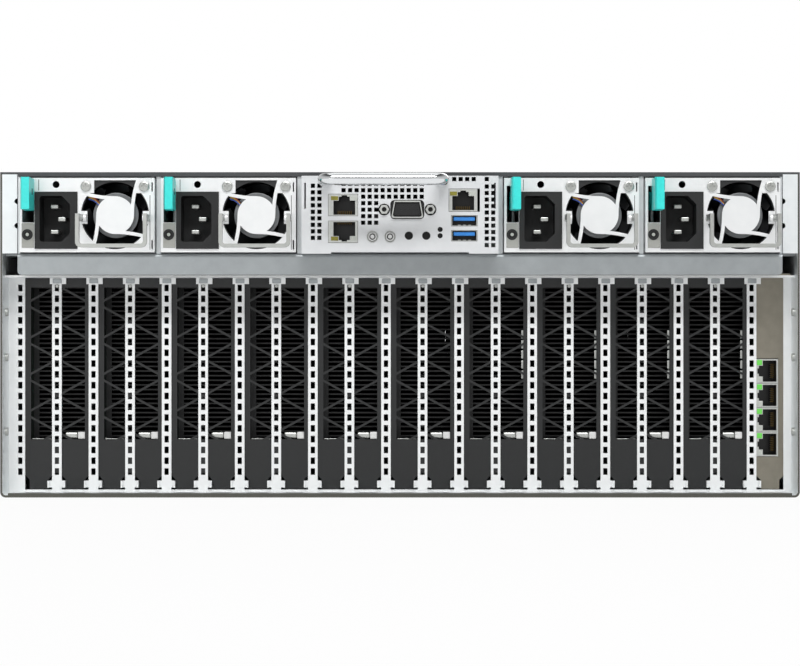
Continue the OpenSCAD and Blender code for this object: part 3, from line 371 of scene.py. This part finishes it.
def ring(base, centre, outer, inner, depth, material, bevel=0.0):
    """A short tube along Y."""
    x, y, z = centre
    tube = disc(base, centre, outer, depth, material)
    bore = disc(base, (x, y - CUT_CLEARANCE, z), inner, depth + 2 * CUT_CLEARANCE, material)
    carve(tube, bore)
    only(tube)
    round_edges(tube, bevel)
    return tube


def wire(base, points, radius, material):
    """A thin insulated wire through points, turned into a mesh."""
    curve = bpy.data.curves.new("wire", "CURVE")
    curve.dimensions = "3D"
    curve.bevel_depth = radius * MM
    curve.bevel_resolution = 3
    curve.use_fill_caps = True
    line = curve.splines.new("BEZIER")
    line.bezier_points.add(len(points) - 1)
    for knot, point in zip(line.bezier_points, points):
        knot.co = [b + c * MM for b, c in zip(base, point)]
        knot.handle_left_type = knot.handle_right_type = "AUTO"
    obj = bpy.data.objects.new("wire", curve)
    bpy.context.scene.collection.objects.link(obj)
    only(obj)
    bpy.ops.object.convert(target="MESH")
    obj = bpy.context.object
    obj.data.materials.clear()
    obj.data.materials.append(material)
    return obj


HEAD_HEIGHT, HEAD_ROUNDING = 0.52, 0.8
RECESS_REACH, RECESS_WIDTH, RECESS_DEPTH, RECESS_START = 0.55, 0.13, 0.45, 0.5


def phillips_screw(base, centre, radius, material):
    """A pan head with a cross recess, seated on the surface at centre."""
    x, y, z = centre
    height = radius * HEAD_HEIGHT
    head = disc(base, (x, y - height, z), radius, height, material,
                bevel=height * HEAD_ROUNDING)
    long, short = radius * RECESS_REACH, radius * RECESS_WIDTH
    for half_x, half_z in ((long, short), (short, long)):
        carve(head, block(base, (x - half_x, y - height - RECESS_START, z - half_z),
                          (x + half_x, y - height * RECESS_DEPTH, z + half_z), material))
    return head


def piece(name, body, parts):
    """Join parts into one named piece that rides on a body."""
    bpy.ops.object.select_all(action="DESELECT")
    for part in parts:
        part.select_set(True)
    bpy.context.view_layer.objects.active = parts[0]
    if len(parts) > 1:
        bpy.ops.object.join()
    obj = bpy.context.object
    obj.name = obj.data.name = name
    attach(obj, body)
    return obj


# %% [markdown]
# ## Power supplies
#
# Each face gets the parts that are screwed or clipped to it: two pan-head screws that hold the
# fan, a grey lamp plate, tin-plated pins in the inlet, and a black fan housing with its grey hub
# and three wires behind the stamped guard. Distances run from the lower left corner of the face.

# %% Power supply faces
INLET_PROUD = 1.0
FAN_X, FAN_Z = 52.0, 20.25
BORE_R = 18.4
SCREW_R = 2.9
SCREW_PLACES = ((36.2, 35.9), (67.9, 35.9))
PIN_PLACES = ((18.3, 25.2), (22.3, 18.2), (18.3, 11.2))
PIN_HALF_X, PIN_HALF_Z = 2.1, 1.1
PIN_TIP, PIN_ROOT, PIN_ROUNDING = 5.2, 16.5, 0.4
PLATE_LOW, PLATE_HIGH, PLATE_ROUNDING = (1.2, -0.5, 2.4), (7.9, 0.0, 15.9), 0.3
LAMP_X, LAMP_Z = 4.3, 9.6
LAMP_RIM_R, LAMP_R, LAMP_DOT_R = 3.0, 1.9, 0.9
LAMP_RIM_Y, LAMP_Y, LAMP_DOT_Y = -0.8, -0.65, -0.9
LAMP_RIM_DEPTH, LAMP_DEPTH, LAMP_DOT_DEPTH = 0.4, 0.2, 0.4
HOUSING_HALF = 19.5
HOUSING_FRONT, HOUSING_BACK = 1.03, 1.45
HOUSING_BOTTOM, HOUSING_TOP = 1.2, 39.3
HOUSING_LIP, SLEEVE_GAP, SLEEVE_WALL = 0.3, 0.02, 0.35
SLEEVE_START, SLEEVE_LENGTH = 1.2, 27.5
BORE_START, PLATE_BORE, SLEEVE_BORE = 0.5, 2.0, 27.9
HUB_R, HUB_START, HUB_DEPTH, HUB_ROUNDING = 12.4, 4.1, 0.7, 0.5
WIRE_R = 0.42
WIRE_KNOTS = ((37.5, 2.0, 31.0, 0.9), (40.5, 2.4, 29.6, 0.8), (43.0, 2.9, 27.0, 0.6))
SEAMS = (((10.3, -0.03, 33.6), (10.6, 0.1, 39.6)), ((70.9, -0.03, 1.4), (71.2, 0.1, 31.0)))
SLIT_X, SLIT_BEHIND_TIP = 8.2, 9.5
SLIT_LOW, SLIT_HIGH = (-0.1, 0.0, -9.0), (0.04, 2.6, -5.6)


def fan_disc(base, start, radius, depth, material, bevel=0.0):
    """A smooth disc on the axis of the supply's fan."""
    return disc(base, (FAN_X, start, FAN_Z), radius, depth, material, bevel, SMOOTH)


for n in range(1, 5):
    case_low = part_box(f"psu_{n}_case")[0]
    base = Vector((case_low.x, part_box(f"psu_{n}_inlet")[0].y + INLET_PROUD * MM, case_low.z))
    body = f"psu_{n}"
    piece(f"psu_{n}_fan_screws", body,
          [phillips_screw(base, (x, 0.0, z), SCREW_R, tin) for x, z in SCREW_PLACES])
    piece(f"psu_{n}_lamp_plate", body, [
        block(base, PLATE_LOW, PLATE_HIGH, plate_grey, PLATE_ROUNDING),
        ring(base, (LAMP_X, LAMP_RIM_Y, LAMP_Z), LAMP_RIM_R, LAMP_R, LAMP_RIM_DEPTH,
             jack_plastic, bevel=0.1),
        # The black disc inside the lamp rim is painted shade of the recess.
        disc(base, (LAMP_X, LAMP_Y, LAMP_Z), LAMP_R, LAMP_DEPTH, shade_and_seam_black),
        disc(base, (LAMP_X, LAMP_DOT_Y, LAMP_Z), LAMP_DOT_R, LAMP_DOT_DEPTH, clear_lens,
             bevel=0.15),
    ])
    piece(f"psu_{n}_inlet_pins", body,
          [block(base, (x - PIN_HALF_X, PIN_TIP, z - PIN_HALF_Z),
                 (x + PIN_HALF_X, PIN_ROOT, z + PIN_HALF_Z), tin, PIN_ROUNDING)
           for x, z in PIN_PLACES])
    face_plate = block(base, (FAN_X - HOUSING_HALF, HOUSING_FRONT, HOUSING_BOTTOM),
                       (FAN_X + HOUSING_HALF, HOUSING_BACK, HOUSING_TOP), fan_plastic)
    carve(face_plate, fan_disc(base, BORE_START, BORE_R - HOUSING_LIP, PLATE_BORE, fan_plastic))
    sleeve = fan_disc(base, SLEEVE_START, BORE_R - SLEEVE_GAP, SLEEVE_LENGTH, fan_plastic)
    carve(sleeve, fan_disc(base, BORE_START, BORE_R - SLEEVE_WALL, SLEEVE_BORE, fan_plastic))
    piece(f"psu_{n}_fan_housing", body, [face_plate, sleeve])
    hub = fan_disc(base, HUB_START, HUB_R, HUB_DEPTH, hub_grey, HUB_ROUNDING)
    piece(f"psu_{n}_hub_cap", f"psu_{n}_fan", [hub])
    piece(f"psu_{n}_fan_wires", body, [
        wire(base, [(x, y, z - i * step) for x, y, z, step in WIRE_KNOTS], WIRE_R, shade)
        for i, shade in enumerate((wire_red, wire_yellow, wire_blue))])
    piece(f"psu_{n}_seams", body,
          [block(base, low, high, shade_and_seam_black) for low, high in SEAMS])
    # The black block in the release tab is painted shade of its slit.
    tab_low, tab_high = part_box(f"psu_{n}_latch")
    tab_base = Vector((base.x + SLIT_X * MM, tab_low.y + SLIT_BEHIND_TIP * MM, tab_high.z))
    piece(f"psu_{n}_tab_slit", f"psu_{n}_release",
          [block(tab_base, SLIT_LOW, SLIT_HIGH, shade_and_seam_black)])
print("power supply faces dressed")

# %% [markdown]
# ## Port tray
#
# The jacks get their light pipes and gold contacts, darkened as painted shade of the deep jacks,
# the USB ports their blue tongues, and the display port its field of fifteen contacts, each with
# a dot of painted shade. Rings surround the two push buttons. Black eyelets, with black discs of
# painted shade behind them, close the round holes beside them.

# %% Network jacks of the tray
TRAY_HEIGHT = 41.2
LAN_CENTRE_X, STACK_CENTRE_X = -30.1, 34.15
LAN_PLUGS = ((LAN_CENTRE_X, 23.9, 1), (LAN_CENTRE_X, 12.4, -1), (STACK_CENTRE_X, 26.4, 1))
PLUG_HALF, PIPE_NEAR, PIPE_FAR = 3.8, 0.25, 2.5
PIPE_FRONT, PIPE_BACK, PIPE_ROUNDING = -0.45, -0.2, 0.1
AMBER_X, CLEAR_X = (-7.2, -3.3), (3.3, 6.9)
CONTACTS, CONTACT_PITCH, CONTACT_HALF = 8, 1.02, 0.2
CONTACT_FRONT, CONTACT_BACK = 5.6, 9.5
CONTACT_DROP, CONTACT_BELOW, CONTACT_ABOVE = 3.2, 0.4, 1.8
tray_low, tray_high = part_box("port_tray")
tray = Vector((0.0, tray_low.y, tray_high.z - TRAY_HEIGHT * MM))


def contact_offsets():
    """Sideways places of the eight contacts, from the middle of a jack."""
    return [(i - (CONTACTS - 1) / 2) * CONTACT_PITCH for i in range(CONTACTS)]


lamps, contacts = [], []
for x, z, up in LAN_PLUGS:
    near = z + up * (PLUG_HALF + PIPE_NEAR)
    far = z + up * (PLUG_HALF + PIPE_FAR)
    low_z, high_z = min(near, far), max(near, far)
    for (left, right), glass in ((AMBER_X, amber_lens), (CLEAR_X, clear_lens)):
        lamps.append(block(tray, (x + left, PIPE_FRONT, low_z), (x + right, PIPE_BACK, high_z),
                           glass, PIPE_ROUNDING))
    row_z = z - up * CONTACT_DROP
    for offset in contact_offsets():
        contacts.append(block(
            tray, (x + offset - CONTACT_HALF, CONTACT_FRONT, row_z - CONTACT_BELOW),
            (x + offset + CONTACT_HALF, CONTACT_BACK, row_z + CONTACT_ABOVE), gold))
piece("tray_light_pipes", "tray", lamps)
piece("tray_contacts", "tray", contacts)
print("network jacks of the tray fitted:", len(LAN_PLUGS))

# %% USB and display ports
USB_X0, USB_W, USB_ZS = 27.8, 13.9, (8.8, 16.9)
TONGUE_INSET, TONGUE_FRONT, TONGUE_BACK, TONGUE_T = 1.2, 0.55, 9.0, 2.1
SPRING_XS, SPRING_W = (3.6, 6.4, 9.2), 1.4
SPRING_FRONT, SPRING_BACK, SPRING_LOW, SPRING_HIGH = 0.1, 4.0, 2.55, 2.2
VGA_X, VGA_Z = 3.95, 22.95
VGA_ROWS, VGA_PER_ROW, VGA_PITCH, VGA_SHIFT = (2.0, 0.0, -2.0), 5, 2.29, 1.1
SOCKET_R, SOCKET_Y, SOCKET_DEPTH = 0.62, -0.78, 0.15
BORE_DOT_R, BORE_DOT_Y, BORE_DOT_DEPTH = 0.34, -0.8, 0.05
tongues = []
for z in USB_ZS:
    tongues.append(block(tray, (USB_X0 + TONGUE_INSET, TONGUE_FRONT, z),
                         (USB_X0 + USB_W - TONGUE_INSET, TONGUE_BACK, z + TONGUE_T),
                         usb_blue, 0.15))
    for x in SPRING_XS:
        tongues.append(block(tray, (USB_X0 + x, SPRING_FRONT, z - SPRING_LOW),
                             (USB_X0 + x + SPRING_W, SPRING_BACK, z - SPRING_HIGH), tin))
piece("usb_tongues", "tray", tongues)
sockets = []
for row, z in enumerate(VGA_ROWS):
    for i in range(VGA_PER_ROW):
        x = VGA_X + (i - 2) * VGA_PITCH + (VGA_SHIFT if row == 1 else 0.0)
        sockets.append(disc(tray, (x, SOCKET_Y, VGA_Z + z), SOCKET_R, SOCKET_DEPTH,
                            socket_plastic, vertices=16))
        # Each black dot is painted shade in a contact hole.
        sockets.append(disc(tray, (x, BORE_DOT_Y, VGA_Z + z), BORE_DOT_R, BORE_DOT_DEPTH,
                            shade_and_seam_black, vertices=12))
piece("display_contacts", "tray", sockets)
print("USB tongues and display contacts fitted")

# %% Buttons and round holes
BUTTONS = ((-14.9, "power_key"), (-5.4, "id_key"))
BUTTON_Z = 8.25
COLLAR_Y, COLLAR_R, COLLAR_BORE, COLLAR_DEPTH = -0.6, 3.1, 2.62, 0.6
RIM_Y, RIM_R, RIM_BORE, RIM_DEPTH = -1.35, 1.7, 1.1, 0.2
JACK_XS, JACK_Z = (4.8, 14.2), 8.8
SHADE_DISC_Y, SHADE_DISC_R, SHADE_DISC_DEPTH = 1.15, 2.6, 0.5
EYELET_Y, EYELET_R, EYELET_BORE, EYELET_DEPTH = -0.12, 2.25, 1.9, 0.5
LENS_X, LENS_ZS, LENS_SHADE_DISC_R, LENS_SHADE_DISC_DEPTH = 21.7, (8.8, 12.2), 1.7, 0.4
piece("button_collars", "tray",
      [ring(tray, (x, COLLAR_Y, BUTTON_Z), COLLAR_R, COLLAR_BORE, COLLAR_DEPTH, tin, bevel=0.12)
       for x, body in BUTTONS])
for x, body in BUTTONS:
    piece(f"{body}_rim", body,
          [ring(tray, (x, RIM_Y, BUTTON_Z), RIM_R, RIM_BORE, RIM_DEPTH, jack_plastic)])
# The black discs behind the round holes are painted shade. The eyelets are black plastic.
eyelets_and_shade_discs = [disc(tray, (x, SHADE_DISC_Y, JACK_Z), SHADE_DISC_R, SHADE_DISC_DEPTH, shade_and_seam_black)
           for x in JACK_XS]
eyelets_and_shade_discs += [ring(tray, (x, EYELET_Y, JACK_Z), EYELET_R, EYELET_BORE, EYELET_DEPTH, jack_plastic)
            for x in JACK_XS]
eyelets_and_shade_discs += [disc(tray, (LENS_X, SHADE_DISC_Y, z), LENS_SHADE_DISC_R, LENS_SHADE_DISC_DEPTH, shade_and_seam_black)
            for z in LENS_ZS]
piece("round_jack_eyelets_and_shade", "tray", eyelets_and_shade_discs)
print("port tray dressed")

# %% [markdown]
# ## Slots and cards
#
# A small boss sits on each T head, and a pin stands in the first hole of every second bar. Behind
# the lattice, each card shows its power connector at the lower right and a bright sill at the
# lower left. A dark plate of painted shade closes the far end of each card and stands in for the
# shade inside it, so that the bright front of the room does not show through the fins. The
# network card at the far right has a green and a clear light pipe beside each jack.

# %% Slot bars
SLOT_PITCH, FIRST_BAR, BARS = 20.32, -211.0, 20
TONGUE_BEHIND, SHEET = 0.9, 1.2
BOSS_X, BOSS_Z, BOSS_PROUD, BOSS_ROUNDING = (-2.2, 2.6), (117.5, 120.1), 0.9, 0.35
PIN_X, PIN_Y, PIN_Z, PIN_R, PIN_DEPTH = 0.2, -1.1, 116.0, 0.95, 1.6
bar_face_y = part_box("lan_card_bracket")[1].y - TONGUE_BEHIND * MM - SHEET * MM
slots = Vector((0.0, bar_face_y, 0.0))
bosses, pins = [], []
for n in range(1, BARS + 1):
    x = FIRST_BAR + n * SLOT_PITCH
    bosses.append(block(slots, (x + BOSS_X[0], -BOSS_PROUD, BOSS_Z[0]),
                        (x + BOSS_X[1], 0.0, BOSS_Z[1]), shelf_zinc, BOSS_ROUNDING))
    if n % 2 == 1:
        pins.append(disc(slots, (x + PIN_X, PIN_Y, PIN_Z), PIN_R, PIN_DEPTH, tin,
                         bevel=0.3, vertices=16))
piece("bar_bosses", "chassis", bosses)
piece("bar_pins", "chassis", pins)
print("bosses:", BARS, "pins:", BARS // 2)

# %% Accelerator cards
CARDS, FIRST_STRIP_CARD, STRIPS = 10, 6, 5
CRIMP_LOW, CRIMP_HIGH, CRIMP_ROUNDING = (24.6, 0.2, 31.2), (31.6, 6.0, 34.6), 0.8
PLUG_LOW, PLUG_HIGH, PLUG_ROUNDING = (31.8, -0.1, 31.0), (35.7, 6.0, 34.8), 0.3
SILL_LOW, SILL_HIGH, SILL_ROUNDING = (6.4, 0.05, 30.85), (17.0, 1.5, 31.2), 0.1
STRIP_X, STRIP_Y, STRIP_Z0 = (34.7, 35.9), (0.3, 2.5), 64.5
STRIP_PITCH, STRIP_LENGTH, STRIP_ROUNDING = 5.6, 4.4, 0.2
# Corners of the black plates of painted shade at the far end of each card.
SHADE_PLATE_LOW, SHADE_PLATE_HIGH = (2.5, -1.0, 24.0), (38.0, -0.2, 118.0)
shroud_low, shroud_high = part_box("gpu_shrouds")
card_xs = [FIRST_BAR + 2 * n * SLOT_PITCH for n in range(CARDS)]


def card_block(x, y, low, high, material, rounding=0.0):
    """A block of one card, whose left edge is x millimetres from the middle."""
    base = Vector((0.0, y, 0.0))
    return block(base, (x + low[0], *low[1:]), (x + high[0], *high[1:]), material, rounding)


plugs, sills, strips = [], [], []
for n, x in enumerate(card_xs):
    near = shroud_low.y
    plugs.append(card_block(x, near, CRIMP_LOW, CRIMP_HIGH, tin, CRIMP_ROUNDING))
    plugs.append(card_block(x, near, PLUG_LOW, PLUG_HIGH, button_plastic, PLUG_ROUNDING))
    sills.append(card_block(x, near, SILL_LOW, SILL_HIGH, tin, SILL_ROUNDING))
    if n >= FIRST_STRIP_CARD:
        for i in range(STRIPS):
            z = STRIP_Z0 + i * STRIP_PITCH
            strips.append(card_block(x, near, (STRIP_X[0], STRIP_Y[0], z),
                                     (STRIP_X[1], STRIP_Y[1], z + STRIP_LENGTH), tin,
                                     STRIP_ROUNDING))
# Painted shade: a black plate at the far end of each card stands in for the shade inside it.
painted_shade_plates = [card_block(x, shroud_high.y, SHADE_PLATE_LOW, SHADE_PLATE_HIGH, shade_and_seam_black) for x in card_xs]
piece("card_painted_shade_plates", "chassis", painted_shade_plates)
piece("card_power_plugs", "chassis", plugs)
piece("card_sills", "chassis", sills)
piece("card_side_strips", "chassis", strips)
print("cards dressed:", CARDS)

# %% Network card
JACKS, FIRST_JACK_Z, JACK_PITCH, JACK_HALF = 4, 21.4, 13.55, 6.675
PIPE_X, NIC_PIPE_FRONT = (198.45, 201.3), -0.25
PIPE_INNER, PIPE_OUTER = 3.3, 6.2
NIC_CONTACT_X, NIC_CONTACT_BACK = (206.8, 208.9), 9.0
nic = Vector((0.0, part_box("lan_card_jacks")[0].y, 0.0))
lamps, contacts = [], []
for i in range(JACKS):
    z = FIRST_JACK_Z + i * JACK_PITCH + JACK_HALF
    lamps.append(block(nic, (PIPE_X[0], NIC_PIPE_FRONT, z + PIPE_INNER),
                       (PIPE_X[1], 0.0, z + PIPE_OUTER), green_lens, PIPE_ROUNDING))
    lamps.append(block(nic, (PIPE_X[0], NIC_PIPE_FRONT, z - PIPE_OUTER),
                       (PIPE_X[1], 0.0, z - PIPE_INNER), clear_lens, PIPE_ROUNDING))
    for offset in contact_offsets():
        contacts.append(block(
            nic, (NIC_CONTACT_X[0], CONTACT_FRONT, z + offset - CONTACT_HALF),
            (NIC_CONTACT_X[1], NIC_CONTACT_BACK, z + offset + CONTACT_HALF), gold))
piece("card_light_pipes", "chassis", lamps)
piece("card_contacts", "chassis", contacts)
print("network card dressed:", JACKS, "jacks")

# %% [markdown]
# ## Front
#
# Two light pipes mark each drive carrier.

# %% Drive lamps
DRIVES = 4
PIPE_LEFT, PIPE_RIGHT = -34.0, -31.8
DRIVE_PIPE_Y, DRIVE_PIPE_ZS, DRIVE_PIPE_HEIGHT = (0.9, 1.15), (8.0, 12.5), 2.0
for n in range(1, DRIVES + 1):
    low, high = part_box(f"drive_{n}")
    front = Vector((high.x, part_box("front_panel")[1].y, low.z))
    piece(f"drive_{n}_lamps", f"drive_{n}",
          [block(front, (PIPE_LEFT, DRIVE_PIPE_Y[0], z),
                 (PIPE_RIGHT, DRIVE_PIPE_Y[1], z + DRIVE_PIPE_HEIGHT), green_lens, 0.2)
           for z in DRIVE_PIPE_ZS])
print("drive lamps fitted:", DRIVES)

# %% [markdown]
# ## Camera, floor and lamps
#
# The camera stands straight behind the server at half its height, far enough away that the
# perspective is gentle. A white room surrounds it: the floor and the background are white to the
# camera, while soft lamps give the object its light. Reflections see a room that is bright near
# the horizon and darker above and below, which gives the metal its contrast.

# %% Camera
CAMERA_DISTANCE = 1.3005
CAMERA_HEIGHT = 0.0899
LENS_MM = 107.1
SENSOR_MM = 36.0
NEAR_CLIP = 0.01
rear_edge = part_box("chassis_pan")[0].y
camera_data = bpy.data.cameras.new("camera")
camera_data.lens = LENS_MM
camera_data.sensor_width = SENSOR_MM
camera_data.clip_start = NEAR_CLIP
camera = bpy.data.objects.new("camera", camera_data)
bpy.context.scene.collection.objects.link(camera)
camera.location = (0.0, rear_edge - CAMERA_DISTANCE, CAMERA_HEIGHT)
camera.rotation_euler = (math.radians(90), 0.0, 0.0)
bpy.context.scene.camera = camera
print("camera", CAMERA_DISTANCE, "m behind the rear edge")

# %% Floor and room
FLOOR_SIZE, FLOOR_DROP, FLOOR_ROUGHNESS = 12.0, 0.0002, 0.6
FLOOR_WHITE_SHARE = 0.92
ROOM_STRENGTH = 0.13
HORIZON_EDGE, HORIZON_END = 0.45, 0.8
HORIZON_STRENGTH, ZENITH_STRENGTH = 0.62, 0.08


def seen_rays(tree):
    """One for camera, mirror and glass rays, and zero for the rays that light the object."""
    path = add(tree, "ShaderNodeLightPath")
    seen = add(tree, "ShaderNodeMath", {0: (path, "Is Camera Ray"), 1: (path, "Is Glossy Ray")},
               operation="MAXIMUM")
    seen = add(tree, "ShaderNodeMath", {0: (seen, "Value"), 1: (path, "Is Transmission Ray")},
               operation="MAXIMUM")
    return path, seen


def white_to_camera(tree, shader_output, strength, share):
    """Mix a surface with plain white for camera, mirror and glass rays."""
    path, seen = seen_rays(tree)
    amount = add(tree, "ShaderNodeMath", {0: (seen, "Value"), 1: share}, operation="MULTIPLY")
    white = add(tree, "ShaderNodeEmission", {"Color": (1, 1, 1, 1), "Strength": strength})
    return add(tree, "ShaderNodeMixShader", {0: (amount, "Value"), 1: shader_output,
                                             2: (white, "Emission")})


bpy.ops.object.select_all(action="DESELECT")
bpy.ops.mesh.primitive_plane_add(size=FLOOR_SIZE, location=(0, 0, -FLOOR_DROP))
floor = bpy.context.object
floor.name = "floor"
floor_material, tree, shader, place = start_material("floor_white_paint",
                                                    Roughness=FLOOR_ROUGHNESS)
shader.inputs["Base Color"].default_value = linear("#F2F2F2")
mixed = white_to_camera(tree, (shader, "BSDF"), 1.0, FLOOR_WHITE_SHARE)
tree.links.new(mixed.outputs[0], tree.nodes["Material Output"].inputs["Surface"])
floor.data.materials.append(floor_material)

world = bpy.data.worlds.new("white_room")
bpy.context.scene.world = world
world.use_nodes = True
tree = world.node_tree
room_light = tree.nodes["Background"]
room_light.inputs["Color"].default_value = (1, 1, 1, 1)
room_light.inputs["Strength"].default_value = ROOM_STRENGTH
path, seen = seen_rays(tree)
white = add(tree, "ShaderNodeBackground", {"Color": (1, 1, 1, 1), "Strength": 1.0})
heading = add(tree, "ShaderNodeTexCoord")
apart = add(tree, "ShaderNodeSeparateXYZ", {"Vector": (heading, "Generated")})
steep = add(tree, "ShaderNodeMath", {0: (apart, "Z")}, operation="ABSOLUTE")
falloff = add(tree, "ShaderNodeMapRange", {"Value": (steep, "Value"),
                                           "From Min": HORIZON_EDGE, "From Max": HORIZON_END,
                                           "To Min": HORIZON_STRENGTH,
                                           "To Max": ZENITH_STRENGTH})
mirrored = add(tree, "ShaderNodeBackground", {"Color": (1, 1, 1, 1),
                                              "Strength": (falloff, "Result")})
clean = add(tree, "ShaderNodeMixShader", {0: (path, "Is Camera Ray"), 1: (mirrored, "Background"),
                                          2: (white, "Background")})
mixed = add(tree, "ShaderNodeMixShader", {0: (seen, "Value"), 1: (room_light, "Background"),
                                          2: (clean, "Shader")})
tree.links.new(mixed.outputs[0], tree.nodes["World Output"].inputs["Surface"])
print("floor and room ready")

# %% Lamps
def soft_lamp(name, place, target, size, watts):
    """A rectangular area lamp that faces target."""
    data = bpy.data.lights.new(name, "AREA")
    data.shape = "RECTANGLE"
    data.size, data.size_y = size
    data.energy = watts
    lamp = bpy.data.objects.new(name, data)
    bpy.context.scene.collection.objects.link(lamp)
    lamp.location = place
    lamp.rotation_euler = (Vector(target) - Vector(place)).to_track_quat("-Z", "Y").to_euler()


aim = (0.0, rear_edge, 0.09)
soft_lamp("key_above", (0.1, rear_edge - 1.85, 2.0), aim, (2.2, 0.5), 54)
soft_lamp("fill_level", (-1.0, rear_edge - 2.2, 0.25), aim, (1.2, 0.6), 4)
soft_lamp("top", (0.0, 0.1, 2.0), (0, 0, 0), (1.6, 1.6), 9)
soft_lamp("front_fill", (0.6, 2.2, 1.2), (0, 0.4, 0.1), (1.6, 1.2), 9)
bpy.context.scene.view_settings.view_transform = "Standard"
print("lamps ready")
